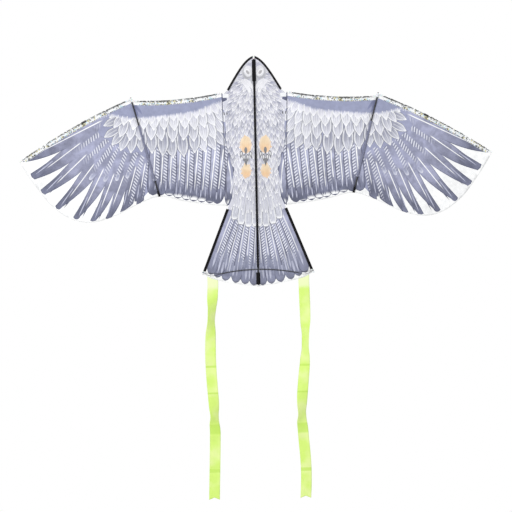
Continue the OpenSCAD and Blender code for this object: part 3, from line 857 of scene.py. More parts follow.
@dataclass(frozen=True)
class SailPlan:
    """The cut of the sail, in millimetres, as the solids have it. The right half stands for both."""

    shoulder: Point = (76, 48)
    wrist: Point = (287, 36)
    tip: Point = (550, -103)
    batten_foot: Point = (226, -190)
    seam_foot: Point = (69, -215)
    inner_sag: float = 7.0
    outer_bow: float = 8.0
    trail_drop: float = 247.0
    wrist_step: float = 2.4
    root_shares: Points = ((0.3, 0.19), (0.65, 0.55))
    trail_shares: Points = (
        (0.17, 0.845), (0.32, 0.94), (0.49, 1), (0.645, 0.96), (0.785, 0.825), (0.892, 0.645), (0.965, 0.5))
    nose_z: float = 134.0
    head_x: float = 64.0
    head_base_z: float = 56.0
    nose_pull: Point = (0.34, 0.92)
    neck_pull: Point = (0.59, 0.57)
    tail_top: Point = (69, -222)
    tail_corner: Point = (129, -373)
    tail_end: float = -403.0
    tail_shares: Points = ((0.84, 0.36), (0.62, 0.62), (0.31, 0.86))
    under_film: float = 3.2
    under_binding: float = 2.6
    under_sleeve: float = 3.0
    arc_steps: int = 28
    head_points: int = 25
    clear_of_middle: float = 0.1

    def arc_ends(self, inner: bool) -> tuple[Array, Array]:
        """The two ends of a leading edge arc.

        Args:
            inner: Whether it is the arc from shoulder to wrist, and not the one from wrist to tip.

        Returns:
            The end towards the body and the end towards the tip.
        """
        wrist = np.array(self.wrist)
        down = unit(np.array(self.batten_foot) - wrist) * self.wrist_step
        return (np.array(self.shoulder), wrist + down) if inner else (wrist - down, np.array(self.tip))

    def arc(self, inner: bool) -> tuple[Array, float, float, float]:
        """The leading edge as an arc.

        Args:
            inner: Whether it is the arc from shoulder to wrist.

        Returns:
            Its centre, radius, first angle and turn of direction.
        """
        a, b = self.arc_ends(inner)
        rise = -self.inner_sag if inner else self.outer_bow
        chord = float(np.linalg.norm(b - a))
        radius = chord * chord / (8 * abs(rise)) + abs(rise) / 2
        centre = (a + b) / 2 + left_of(unit(b - a)) * (rise - math.copysign(radius, rise))
        return centre, radius, math.atan2(a[1] - centre[1], a[0] - centre[0]), -math.copysign(1, rise)

    def arc_length(self, inner: bool) -> float:
        """The length of a leading edge arc from end to end."""
        radius = self.arc(inner)[1]
        return 2 * radius * math.asin(float(np.linalg.norm(np.subtract(*self.arc_ends(inner)))) / 2 / radius)

    def on_arc(self, inner: bool, s: float, depth: float) -> Array:
        """A place beside a leading edge arc.

        Args:
            inner: Which arc it is.
            s: The length along it from its start.
            depth: How far behind it, towards the trailing edge.

        Returns:
            The place in X and Z.
        """
        centre, radius, angle, turn = self.arc(inner)
        angle += turn * s / radius
        radius += depth if inner else -depth
        return centre + radius * np.array([math.cos(angle), math.sin(angle)])

    def leading_edge(self, depth: float) -> Array:
        """The leading edge from shoulder to tip, set back by a depth."""
        return np.array([self.on_arc(inner, self.arc_length(inner) * i / self.arc_steps, depth)
                         for inner in (True, False) for i in range(self.arc_steps + 1)])

    def trailing_edge(self) -> Array:
        """The trailing edge from seam to tip.

        Returns:
            Its points.
        """
        (seam_x, seam_z), (foot_x, foot_z) = self.seam_foot, self.batten_foot
        root = [(seam_x + (foot_x - seam_x) * s, seam_z + (foot_z - seam_z) * d) for s, d in self.root_shares]
        trail = [(foot_x + (self.tip[0] - foot_x) * s, -self.trail_drop * d) for s, d in self.trail_shares]
        return curve_through([self.seam_foot, *root, self.batten_foot, *trail, self.tip], 6)

    def head_edge(self, depth: float) -> Array:
        """The head's edge from nose to neck.

        Args:
            depth: How far it is set in.

        Returns:
            Its points.
        """
        high = self.nose_z - self.head_base_z
        p = [np.array((self.head_x * x, self.head_base_z + high * z))
             for x, z in ((0.0, 1.0), self.nose_pull, self.neck_pull, (1.0, 0.0))]
        t = np.linspace(0, 1, self.head_points)[:, None]
        line = p[0] * (1 - t) ** 3 + 3 * p[1] * (1 - t) ** 2 * t + 3 * p[2] * (1 - t) * t * t + p[3] * t ** 3
        way = np.gradient(line, axis=0)
        way /= np.linalg.norm(way, axis=1)[:, None]
        line = line + np.stack([way[:, 1], -way[:, 0]], axis=1) * depth
        return line[line[:, 0] > self.clear_of_middle]

    def tail_edge(self) -> Array:
        """The points of the tail's lower edge, from near its corner to the middle."""
        x, z = self.tail_corner
        return np.array([*((x * s, z + (self.tail_end - z) * d) for s, d in self.tail_shares),
                         (0.0, self.tail_end)])

    def tail_inward(self, depth: float) -> Array:
        """The step from the tail's side edge to a line that is set in by a depth."""
        return left_of(unit(np.array(self.tail_corner) - np.array(self.tail_top))) * -depth

    def half_outline(self) -> Array:
        """The right half of the whole sail, body and wing.

        Returns:
            Its points, anticlockwise.
        """
        head = self.head_edge(self.under_binding)
        inward = self.tail_inward(self.under_sleeve)
        rim = [(0.0, head[0][1]), *head, *self.leading_edge(self.under_film), *self.trailing_edge()[::-1],
               np.array(self.tail_top) + inward, np.array(self.tail_corner) + inward, *self.tail_edge()]
        return np.array([np.asarray(p, float) for p in rim])[::-1]

    def beyond_seam(self, places: Array) -> Array:
        """How far places lie outside the body's seam, less than zero on the body."""
        return beyond(self.seam_foot, self.shoulder, places)

    def beyond_batten(self, places: Array) -> Array:
        """How far places lie outside the batten, less than zero towards the body."""
        return beyond(self.batten_foot, self.wrist, places)


LOOKS = {
    "cloth": FeatherLook("#fdfeff", "#fdfeff", spread=0.0),
    "hand": FeatherLook("#a0a4c0", "#a0a4c0", spread=0.0),
    "band": FeatherLook("#9ba0bc", "#9ba0bc", spread=0.0),
    "fringe": FeatherLook("#d5d7e6", "#9ba0bc", line=0.15),
    "primary": FeatherLook("#a3a5be", "#a3a6c0", hatch=0.85, quill=1.0, dark=0.8),
    "finger_edge": FeatherLook("#5f6279", "#888ba4"),
    "secondary": FeatherLook("#a9acc4", "#afb2c9", hatch=0.95, quill=1.0, dark=0.85, line=1.0, bare_end=1.0),
    "hand_covert": FeatherLook("#c9ccdf", "#a6aac3", rim=0.3),
    "low_covert": FeatherLook("#d2d4e0", "#a6a8ba", rim=0.85, quill=0.3, line=0.85),
    "mid_covert": FeatherLook("#e2e3ee", "#bbbdcc", rim=0.85, quill=0.3, line=0.8),
    "high_covert": FeatherLook("#eff0f8", "#d4d5e2", rim=0.85, quill=0.2, line=0.65),
    "small_covert": FeatherLook("#f1f1fa", "#dcdcea", rim=0.8, quill=0.1, line=0.25),
    "body": FeatherLook("#d9dae6", "#d9dae6", spread=0.0),
    "scale": FeatherLook("#eeeef6", "#c0c1d2", rim=0.8, line=0.85, spread=0.06),
    "pale_scale": FeatherLook("#f3f3f9", "#d6d6e3", rim=0.85, line=0.6, spread=0.04),
    "deep_scale": FeatherLook("#cfd0dd", "#a5a7ba", rim=0.6, line=0.9, spread=0.06),
    "streak": FeatherLook("#d8d9e5", "#c3c4d4", rim=0.85, line=0.65, spread=0.05),
    "lobe": FeatherLook("#d6d8e4", "#cacbd9", rim=1.0, quill=0.25, line=0.75),
    "tail": FeatherLook("#a2a5bd", "#abaec8", hatch=1.0, quill=0.75, dark=0.5, line=0.9, bare_end=0.36),
    "dark_streak": FeatherLook("#868aa2", "#9498ae", spread=0.06),
    "pale_streak": FeatherLook("#c3c6d9", "#b2b5ca", spread=0.05),
    "end_streak": FeatherLook("#62657b", "#80839a", spread=0.06),
    # Painted shade along the fold at the body's edge.
    "crease": FeatherLook("#62667d", "#767a91"),
    "wrist_shade": FeatherLook("#868bab", "#7f84a4"),
    "side_shade": FeatherLook("#868aa4", "#9a9db6", spread=0.0),
    "cheek": FeatherLook("#f5f5fa", "#eeeef5", rim=0.7, line=0.28),
    "beak": FeatherLook("#b4b5bc", "#c0c1c8", rim=0.2),
    "ring": FeatherLook("#b2b3ba", "#bfc0c7", rim=0.12),
    "iris": FeatherLook("#dedfe5", "#e6e6ec", rim=0.1),
    "glint": FeatherLook("#f2f2f6", "#f4f4f8", rim=0.4),
    "pupil": FeatherLook("#b6b4b8", "#b4b3b7", rim=0.35),
    "leg": FeatherLook("#f2cba2", "#f4dcbb", rim=0.15),
    "claw": FeatherLook("#77787c", "#8a8a8e"),
    "pale_claw": FeatherLook("#dcdde0", "#e6e6e9"),
    "corner": FeatherLook("#5c6078", "#6b6f88"),
}


@dataclass
class Plumage:
    """The print on the right half of the sail: feathers laid from the lowest layer to the top one.

    Places are X and Z in millimetres. Each method that lays feathers has its places and sizes among the fields.
    """

    plan: SailPlan
    grid: float = 7.0
    seed: int = 11
    # The wing's ground.
    ground_depth: float = 8.0
    ground_root: Points = ((66, 40), (57, -195), (59, -187))
    ground_above_ends: float = 26.0
    ground_tip: Point = (536, -100)
    # The tail: tips from the corner inwards, roots of the middle feather and of the outer one.
    tail_tips: Points = (
        (112, -374), (97, -381.5), (78.1, -389.2), (53.6, -395), (31.5, -398.5), (10.5, -402))
    tail_roots: tuple[Point, Point] = ((2, -215), (48, -211))
    tail_half: float = 14.2
    tail_bow: float = 0.012
    tail_splay: Point = (0.56, -187)
    tail_slivers: Slivers = Slivers(34, 3, 3.1, 1.5, (7, 32), (24, 48), (1.3, 2.5), "dark_streak", 4)
    # The primaries, from the tip inwards: notches between them, both corners of each end, and quills.
    notches: Points = (
        (453.3, -78.7), (434.6, -106.6), (406.1, -126.4), (379.9, -147.4), (353.1, -162), (330.9, -176),
        (306, -174), (284.3, -191.1), (262, -189))
    finger_tips: tuple[tuple[Point, Point], ...] = (
        ((545, -100), (538, -103)), ((526.1, -130.5), (516.8, -143.9)), ((504, -168.4),
        (494.1, -179.5)), ((469.6, -206.8), (462.6, -215)), ((428.8, -233.6), (419.5, -238.9)),
        ((389.2, -242.4), (376.4, -243)), ((353.7, -237.7), (341.4, -238.9)), ((319.3, -224.9),
        (296, -212)), ((280.8, -207.4), (262, -197)))
    quills: tuple[tuple[Point, Point], ...] = (
        ((357.7, -10.5), (466, -63)), ((409, -61.8), (490.6, -120.6)), ((395, -88.6), (466.1, -154.4)),
        ((377.5, -110.7), (434.6, -184.7)), ((355.4, -122.4), (392.7, -195.8)), ((331.5, -135.2),
        (354.2, -191.1)), ((308.8, -139.3), (327.4, -187)), ((279.7, -118.9), (299.5, -187.6)),
        ((257.5, -111.9), (269.2, -170.1)))
    first_finger_top: Points = ((562, -92), (400, 10), (325, 45))
    finger_edge: float = 1.6
    finger_edge_over: float = 25.0
    finger_half: float = 13.0
    finger_back: float = 95.0
    finger_root: float = 75.0
    finger_hollows: Point = (2.2, 3.4)
    finger_nose: float = 2.0
    hatched_to_end: tuple[int, float] = (7, 0.88)
    finger_streaks: tuple[tuple[float, float, str], ...] = ((4.4, 1.3, "pale_streak"), (-4.6, 1.5, "end_streak"))
    finger_streak_span: Point = (0.56, 0.94)
    hand_coverts: tuple[Place, ...] = (
        (302, -146, -72), (327, -151, -66), (355, -152, -60), (389, -147, -50))
    hand_covert_size: Point = (16, 4.2)
    # The secondaries from the body outwards: X, lean, lower end and how bare that end is.
    secondaries: tuple[tuple[float, float, float, float], ...] = (
        (76.9, 14, -209.7, 0.1), (95.6, 13, -208.1, 0.45), (116.5, 11, -205.8, 0.9),
        (136.3, 10.5, -202.8, 1), (156.1, 7.5, -200, 1), (176, 7.5, -195.3, 0.9),
        (196.9, 7, -189.5, 0.55), (216.7, 8, -187.1, 0.2), (235.4, 7, -186.5, 0))
    secondary_top: float = -68.0
    secondary_half: float = 14.8
    lean_from: float = -98.0
    lean_over: float = 97.0
    # The strip of painted shade along the body's edge: from where to where, and how wide.
    fold_shade_span: Point = (-214, -40)
    fold_shade_wide: float = 3.6
    end_slivers: Slivers = Slivers(46, 72, 3.9, 1.6, (5, 18), (14, 30), (1, 1.9), "end_streak", 5)
    # The coverts' rows from the lowest one up: tips, then look, spacing, length and half width.
    covert_rows: tuple[Points, ...] = (
        ((69.9, -75.5), (90.9, -85.6), (117.7, -89.7), (146.8, -95.1), (177.1, -99), (202.8, -98.6),
        (228.4, -93.5), (257.5, -88.3), (285.5, -90), (313.5, -82.5), (336.8, -68.1), (350.7, -46.8),
        (355.4, -23.5)), ((69.9, -48.9), (100.2, -59.4), (129.3, -62.7), (153.8, -61.3), (178.3, -62.9),
        (206.2, -63.6), (229.6, -62), (251.7, -62.7), (277.3, -61.8), (303, -55.9), (323.9, -43.1),
        (335.6, -23.3), (340.3, -7)), ((69.9, -21), (102.5, -32.3), (134, -39.4), (162, -36.6),
        (188.8, -38.2), (215.6, -37.8), (240, -37.3), (265.7, -36.4), (289, -31.5), (310, -19.8),
        (321.6, -4.3)), ((71, 8), (102.5, -4), (134, -13), (162, -15.6), (188.8, -17.2),
        (215.6, -17.8), (240, -18.3), (265.7, -17.4), (289, -13.5), (308, -5)))
    covert_kinds: tuple[tuple[str, float, float, float], ...] = (
        ("low_covert", 26, 58, 14.6), ("mid_covert", 25, 52, 14.2), ("high_covert", 24, 48, 13.6),
        ("small_covert", 17, 34, 10.5))
    covert_turns: Points = (
        (70, -122), (100, -112), (135, -93), (270, -90), (310, -72), (335, -52), (355, -28))
    covert_shrinks: Points = ((70, 0.8), (110, 1), (280, 1), (355, 0.66))
    paler_to_x: float = 125.0
    # The band behind the leading edge, with its shades, bare gaps and fringe.
    band_edge: Points = (
        (72.2, 33), (100.2, 24.8), (130.5, 12.5), (153.8, 7.5), (186.4, 3.5), (221.4, 0), (256.4, -2.4),
        (279.7, -3.5), (306.6, 0), (332.6, 5.7), (361.2, -1.2))
    band_depth: float = 2.0
    band_points: int = 44
    band_corner: Point = (66, 46)
    wrist_shades: tuple[Stroke, ...] = (
        ((283, 26), (271, -10), 4), ((279, 25), (262, 2), 3))
    gap_at_shoulder: float = 18.0
    gap_at_wrist: float = 20.0
    gap_depth: float = 8.6
    fringe_count: int = 54
    fringe_first: float = 76.0
    fringe_step: float = 5.2
    # The body, with the lobes over the tail and the streaks above them.
    body_edge: Points = (
        (74.6, 40), (69.7, -16.3), (66.1, -62.9), (62, -86.2), (53, -116.5), (49, -151.5),
        (51, -179.4), (60, -202.8), (68.3, -221))
    body_foot: tuple[Point, Point] = ((0, -236), (40, -236))
    lobes: Points = ((54, -248.8), (38.5, -260.4), (21, -266.8), (4, -266))
    lobe_root: Point = (0.62, -168)
    lobe_half: float = 9.8
    streak_rows: tuple[tuple[float, int], ...] = ((-241, 11), (-209, 12))
    streak_across: float = 64.0
    streak_long: float = 72.0
    # The scales: from where to where, and above which height they are as small as on the head.
    scales_z: Point = (-176, 112)
    head_scales_z: float = 60.0
    scales_in_row: int = 12
    scale_steps: tuple[Point, Point] = ((9.3, 8.6), (7.2, 6.6))
    scale_fan_z: float = 92.0
    scales_to_x: float = 73.0
    corner: Points = ((66, 40), (64, 32), (75, 27), (76, 40))
    # The face.
    cheeks: tuple[Stroke, ...] = (
        ((30, 78), (9, 47), 4.6), ((23.5, 80), (2.5, 56), 4.4))
    beak: Stroke = ((0.5, 92), (0.3, 62), 9)
    eye: tuple[tuple[Point, Point, float, str], ...] = (
        ((17, 111), (15, 79), 13, "ring"), ((14.5, 111), (13, 84.5), 10.2, "iris"),
        ((19.5, 103), (9.5, 88.5), 6, "glint"), ((18.2, 100), (11, 90.5), 3.6, "pupil"))
    # The legs' middles, half widths and half lengths, and the claws' tops and leans.
    legs: tuple[tuple[float, float, float, float], ...] = ((22.6, -73, 13.8, 20.5), (22.6, -134, 11.4, 16))
    leg_tufts: int = 9
    claws: tuple[Place, ...] = (
        (32.5, -87, 0.14), (12.6, -88, -0.14), (27, -95, 0.03), (18.6, -95, -0.03),
        (22.8, -105, 0), (22.8, -79, 0))
    feathers: list[Feather] = field(default_factory=list)
    PALER: ClassVar[dict[str, str]] = {"low_covert": "mid_covert", "mid_covert": "high_covert"}

    def add(self, base: Sequence[float], tip: Sequence[float], half_width: float, look: str,
            silhouette: Silhouette = Silhouette.ROUNDED, bare_end: float | None = None,
            cut: Sequence[Any] = (), **more: float) -> None:
        """Lays one feather on top of those before it.

        Args:
            base: Where its quill starts.
            tip: Where its quill ends.
            half_width: Half its width.
            look: How it is printed.
            silhouette: How its width changes.
            bare_end: How bare its end is, where that isn't as in its look.
            cut: Its outline, where that isn't drawn from its width.
            **more: Its bow, and where its strokes run.
        """
        ink = LOOKS[look] if bare_end is None else replace(LOOKS[look], bare_end=bare_end)
        base, tip, *rim = (tuple(map(float, p)) for p in (base, tip, *cut))
        self.feathers.append(Feather(base, tip, half_width, ink, silhouette, cut=tuple(rim), **more))

    def patch(self, outline: Sequence[Any], look: str) -> None:
        """Lays a plain area with the given outline."""
        self.add(outline[0], outline[len(outline) // 2], 10.0, look, cut=outline)

    def lay(self) -> None:
        """Lays every feather, the lowest first."""
        for layer in (self.lay_grounds, self.lay_tail, self.lay_fingers, self.lay_secondaries, self.lay_coverts,
                      self.lay_body, self.lay_scales, self.lay_head, self.lay_legs):
            layer()

    def lay_grounds(self) -> None:
        """Lays the bare cloth and the wing's ground colour."""
        self.patch(self.plan.half_outline(), "cloth")
        ends = [(x, z + self.ground_above_ends) for x, _, z, _ in self.secondaries]
        lead = self.plan.leading_edge(self.ground_depth)
        self.patch([*self.ground_root, *ends, *self.notches[::-1], self.ground_tip, *lead[::-1]], "hand")

    def lay_slivers(self, row: Slivers, edge: Array, lean: Callable[[float, float], Any]) -> None:
        """Lays a row of thin strokes, every third one pale.

        Args:
            row: How they are spread.
            edge: The edge's points, by rising X.
            lean: The step from a stroke's tip to its base, from its X and its length.
        """
        dice = random.Random(self.seed + row.seed)
        for i in range(row.count):
            x = row.first + row.step * i + dice.uniform(-row.jitter, row.jitter)
            tip = np.array([x, float(np.interp(x, edge[:, 0], edge[:, 1])) + dice.uniform(*row.rise)])
            base = tip + lean(x, dice.uniform(*row.length))
            self.add(base, tip, dice.uniform(*row.half_width), row.look if i % 3 else "pale_streak",
                     Silhouette.POINTED)

    def lay_tail(self) -> None:
        """Lays the tail's fan of feathers from the middle outwards, and thin strokes near its edge."""
        inner, outer = (np.array(p) for p in self.tail_roots)
        for i, tip in reversed(list(enumerate(self.tail_tips))):
            share = 1 - i / (len(self.tail_tips) - 1)
            self.add(inner + (outer - inner) * share, tip, self.tail_half, "tail", bow=self.tail_bow * share,
                     quill_to=0.86, hatch_mm=6.2)
        splay, fall = self.tail_splay
        self.lay_slivers(self.tail_slivers, np.array(self.tail_tips[::-1]),
                         lambda x, size: unit(np.array([x * splay, fall])) * -size)

    def lay_fingers(self) -> None:
        """Lays the primaries from the body outwards, so that each covers the edge of the next one in."""
        for k in reversed(range(len(self.quills))):
            self.lay_finger(k)
        size, half = self.hand_covert_size
        for x, z, turn in self.hand_coverts:
            tip = np.array([x, z])
            self.add(tip - heading(turn) * size, tip, half, "hand_covert", Silhouette.BLUNT)

    def lay_finger(self, k: int) -> None:
        """Lays one primary: its dark edge, its vane and the thin streaks along it.

        Args:
            k: Its place, from the wing's tip inwards.
        """
        start, ahead = (np.array(p) for p in self.quills[k])
        way = unit(ahead - start)
        side = left_of(way)
        tip_high, tip_low = (np.array(p) for p in self.finger_tips[k])
        middle = (tip_high + tip_low) / 2
        low = np.array(self.notches[k])
        top: Sequence[Any] = self.first_finger_top
        if k:
            high = np.array(self.notches[k - 1])
            top = [tip_high, (tip_high + high) / 2 - side * self.finger_hollows[0], high,
                   high - way * self.finger_back]
        under = [low - way * self.finger_back, low,
                 low * 0.42 + tip_low * 0.58 - side * self.finger_hollows[1], tip_low]
        rim = [*curve_through(under, 5), middle + way * self.finger_nose, *curve_through(top, 5)]
        reach = float(np.linalg.norm(middle - start))
        vane = []
        for p in rim:
            out = side * math.copysign(1.0, (p - start) @ side) + way * 0.7
            vane.append(p - out * self.finger_edge * ramp(-self.finger_edge_over, 0, (p - low) @ way))
        bare = self.finger_root / (self.finger_root + reach)
        last, whole = self.hatched_to_end
        self.add(start, start + way * reach, self.finger_half, "finger_edge", cut=rim)
        self.add(start - way * self.finger_root, start + way * reach, self.finger_half, "primary", cut=vane,
                 hatch_to=bare + 0.02 if k < last else whole, quill_from=bare)
        first, end = self.finger_streak_span
        for off, half, look in self.finger_streaks if k else ():
            self.add(start + way * reach * first + side * off * 1.2, start + way * reach * end + side * off,
                     half, look, Silhouette.POINTED)

    def lay_secondaries(self) -> None:
        """Lays the secondaries from the body outwards, the first one bent along the body, and a strip of painted
        shade along the fold at the body's edge.
        """
        self.add((74.0, -84.0), (63.0, -213.0), self.secondary_half, "secondary", bow=-0.075)
        self.add((62.0, -92.0), (55.0, -212.0), 6.5, "side_shade", Silhouette.POINTED, bow=-0.07)
        ends = np.array([(x + lean * ((self.lean_from - end) / self.lean_over), end)
                         for x, lean, end, _ in self.secondaries])
        for (x, lean, _, bare), tip in zip(self.secondaries, ends):
            self.add((x - lean * 0.3, self.secondary_top), tip, self.secondary_half, "secondary", bare_end=bare)
        # A strip of painted shade along the fold at the body's edge.
        low, high = self.fold_shade_span
        fold = [p for p in curve_through(self.body_edge, 6) if low < p[1] < high]
        self.patch([*fold, *(p + np.array([self.fold_shade_wide, 0.0]) for p in fold[::-1])], "crease")
        self.lay_slivers(self.end_slivers, ends, lambda _, size: np.array([-2.0, size]))

    def lay_coverts(self) -> None:
        """Lays the rows of coverts, the lowest row first, then the band along the leading edge."""
        dice = random.Random(self.seed)
        for row, (look, step, size, half) in zip(self.covert_rows, self.covert_kinds):
            line = curve_through(row, 8)
            long = lengths(line)
            count = round(long[-1] / step)
            for i in range(count + 1):
                here = point_at(line, long, long[-1] * i / count)
                way = heading(float(np.interp(here[0], *zip(*self.covert_turns))) + dice.uniform(-4, 4))
                shrink = float(np.interp(here[0], *zip(*self.covert_shrinks)))
                tip = here + way * dice.uniform(-3.5, 3.5)
                kind = self.PALER.get(look, look) if here[0] < self.paler_to_x else look
                self.add(tip - way * size * shrink, tip, half * shrink, kind, Silhouette.POINTED,
                         bow=dice.uniform(-0.03, 0.03))
        self.lay_band(dice)

    def lay_band(self, dice: random.Random) -> None:
        """Lays the plain band, the shades at the wrist, the bare gaps between sleeves and the fringe.

        Args:
            dice: The coverts' random draws, which go on here.
        """
        plan = self.plan
        top = [self.band_corner, *plan.leading_edge(self.band_depth)[:self.band_points]]
        self.patch([*self.band_edge, *top[::-1]], "band")
        for base, tip, half in self.wrist_shades:
            self.add(base, tip, half, "wrist_shade", Silhouette.POINTED)
        size = plan.arc_length(True)
        for inner, first, last in ((True, 0, self.gap_at_shoulder), (True, size - self.gap_at_wrist, size),
                                   (False, 0, self.gap_at_wrist)):
            spots = np.linspace(first, last, 6)
            self.patch([*(plan.on_arc(inner, s, self.gap_depth) for s in spots),
                        *(plan.on_arc(inner, s, 0.0) for s in spots[::-1])], "cloth")
        line = curve_through(self.band_edge, 8)
        for i in range(self.fringe_count):
            x = self.fringe_first + i * self.fringe_step + dice.uniform(-1.2, 1.2)
            z = float(np.interp(x, line[:, 0], line[:, 1]))
            self.add((x, z + 3.0), (x + dice.uniform(-2, 1), z - dice.uniform(4, 9)), 2.5, "fringe",
                     Silhouette.POINTED)

    def body_ground(self) -> Array:
        """The outline of the body's right half, head and all."""
        head = self.plan.head_edge(0.0)[::-1]
        return np.array([*curve_through(self.body_edge, 6)[::-1], *head, (0.0, self.plan.nose_z),
                         *self.body_foot])

    def lay_body(self) -> None:
        """Lays the body's ground and the lobes over the tail."""
        self.patch(self.body_ground(), "body")
        pull, root = self.lobe_root
        for x, z in self.lobes:
            self.add((x * pull, root), (x, z), self.lobe_half, "lobe")

    def lay_scales(self) -> None:
        """Lays the body's streaks and, over them, the small scales of body and head."""
        dice = random.Random(self.seed + 1)
        for low, count in self.streak_rows:
            for i in range(count):
                x = (i + dice.uniform(0.2, 0.8)) * self.streak_across / count
                z = low + 0.28 * x + dice.uniform(-8, 8)
                self.add((x * 0.7, z + self.streak_long), (x, z), dice.uniform(2.8, 4.2), "streak",
                         Silhouette.BLUNT)
        ground = self.body_ground()
        z, row = self.scales_z[0], 0
        while z < self.scales_z[1]:
            on_head = z >= self.head_scales_z
            step, rise = self.scale_steps[on_head]
            fan = float(np.interp(z, (-60, 20), (0.3, 1.0)))
            for i in range(self.scales_in_row):
                x = (i + 0.5 * (row % 2)) * step + dice.uniform(-2.4, 2.4)
                here = np.array([x, z + dice.uniform(-3, 3)])
                way = unit(np.array([x * fan + dice.uniform(-5, 5), -max(14.0, self.scale_fan_z - z)]))
                tip, base = here + way * dice.uniform(7, 11), here - way * dice.uniform(8, 12)
                # Deep scales are commoner at the sides, pale ones between the legs.
                pick = dice.random() - 0.3 * (x > 52 and not on_head) + 0.15 * (z < -50)
                look = "deep_scale" if pick < 0.18 else "scale" if pick < 0.68 else "pale_scale"
                if x > 0 and tip[0] < self.scales_to_x and inside(ground, np.array([base, here])).all():
                    self.add(base, tip, step * dice.uniform(0.4, 0.62), look, Silhouette.POINTED,
                             bow=dice.uniform(-0.08, 0.08))
            row += 1
            z += rise
        self.patch(self.corner, "corner")

    def lay_head(self) -> None:
        """Lays the face: two cheek strokes, the beak, the ring round the eye and the eye."""
        for base, tip, half in self.cheeks:
            self.add(base, tip, half, "cheek", Silhouette.BLUNT, bow=-0.06)
        self.add(*self.beak, "beak", Silhouette.POINTED)
        for part in self.eye:
            self.add(*part, Silhouette.OVAL)

    def lay_legs(self) -> None:
        """Lays the tucked legs, ragged with small feathers, and their claws."""
        dice = random.Random(self.seed + 3)
        for x, z, half, size in self.legs:
            for i in range(self.leg_tufts):
                turn = math.tau * (i + dice.uniform(0.1, 0.9)) / self.leg_tufts
                way = np.array([math.sin(turn), math.cos(turn)])
                middle = np.array([x, z]) + way * (half - 5, size - 6)
                self.add(middle - way * 8, middle + way * dice.uniform(5, 10), dice.uniform(3.5, 6), "leg",
                         Silhouette.POINTED)
            self.add((x, z + size), (x - 0.6, z - size), half, "leg", Silhouette.OVAL)
        for x, z, lean in self.claws:
            self.add((x, z), (x + lean * 20, z - 18.5), 3.7, "claw", Silhouette.CLAW)
            if lean:
                self.add((x + lean * 3, z - 3.0), (x + lean * 15, z - 13.0), 1.9, "pale_claw", Silhouette.CLAW)

    def arrange(self) -> dict[str, Array]:
        """Cuts the half sail along every outline and gives each piece to the feather on top.

        Returns:
            The places, the triangles, and for each of their corners the feather's coordinates and print.
        """
        self.lay()
        places: list[Array] = []
        faces: list[list[int]] = []
        edges: list[tuple[int, int]] = []
        for f in self.feathers:
            outline = f.outline()
            turned = np.roll(outline, -1, axis=0)
            if (outline[:, 0] * turned[:, 1] - turned[:, 0] * outline[:, 1]).sum() < 0:
                outline = outline[::-1]
            faces.append(list(range(len(places), len(places) + len(outline))))
            places += list(outline)
            if not f.cut:
                quill = f.quill_line()
                edges += [(len(places) + i, len(places) + i + 1) for i in range(len(quill) - 1)]
                places += list(quill)
        plan = self.plan
        for line in ((plan.seam_foot, plan.shoulder), (plan.batten_foot, plan.wrist)):
            edges.append((len(places), len(places) + 1))
            places += [np.array(p) for p in line]
        places += list(self.spots())
        made = delaunay_2d_cdt([Vector((float(p[0]), float(p[1]))) for p in places], edges, faces, 1, 1e-4, True)
        points = np.array([tuple(v) for v in made[0]])
        # A triangle belongs to the topmost of the outlines round it, and drops out beyond the cloth, the first.
        kept = [(f, max(owners)) for f, owners in zip(made[2], made[5]) if 0 in owners]
        triangles = np.array([f for f, _ in kept])
        owner = np.array([o for _, o in kept])
        return {"points": points, "triangles": triangles, **self.inked(points[triangles], owner)}

    def spots(self) -> Array:
        """Spreads further points over the cloth, so that it can bend.

        Returns:
            Their places, clear of the rim.
        """
        rim = self.feathers[0].outline()
        low, high = rim.min(0), rim.max(0)
        xs, zs = np.meshgrid(np.arange(low[0], high[0], self.grid), np.arange(low[1], high[1], self.grid))
        xs = xs + (np.arange(len(xs)) % 2)[:, None] * self.grid / 2
        spots = np.stack([xs.ravel(), zs.ravel()], axis=1)
        spots = spots[inside(rim, spots)]
        return spots[distance_to(np.vstack([rim, rim[:1]]), spots)[0] > self.grid * 0.3]

    def inked(self, corners: Array, owner: Array) -> dict[str, Array]:
        """Works out the print at each triangle's corners.

        Args:
            corners: The triangles' corners in X and Z.
            owner: The feather on top at each triangle.

        Returns:
            The feather's coordinates, its two colours and its strokes, for each corner.
        """
        made = {key: np.zeros((len(corners), 3, size)) for key, size in (
            ("share", 2), ("mm", 2), ("tone", 4), ("shade", 4), ("marks", 4), ("spans", 4))}
        dice = random.Random(self.seed + 2)
        for k, f in enumerate(self.feathers):
            look = f.look
            level = 1 + dice.uniform(-look.spread, look.spread)
            mine = owner == k
            if not mine.any():
                continue
            share, mm = f.local(corners[mine].reshape(-1, 2))
            made["share"][mine] = share.reshape(-1, 3, 2)
            made["mm"][mine] = mm.reshape(-1, 3, 2)
            made["tone"][mine] = [*(c * level for c in linear(look.tone)[:3]), look.rim]
            made["shade"][mine] = [*(c * level for c in linear(look.shade)[:3]), look.bare_end]
            made["marks"][mine] = [look.hatch, look.quill, look.dark, look.line]
            made["spans"][mine] = [f.hatch_to, f.quill_from, f.quill_to, f.hatch_mm]
        return made


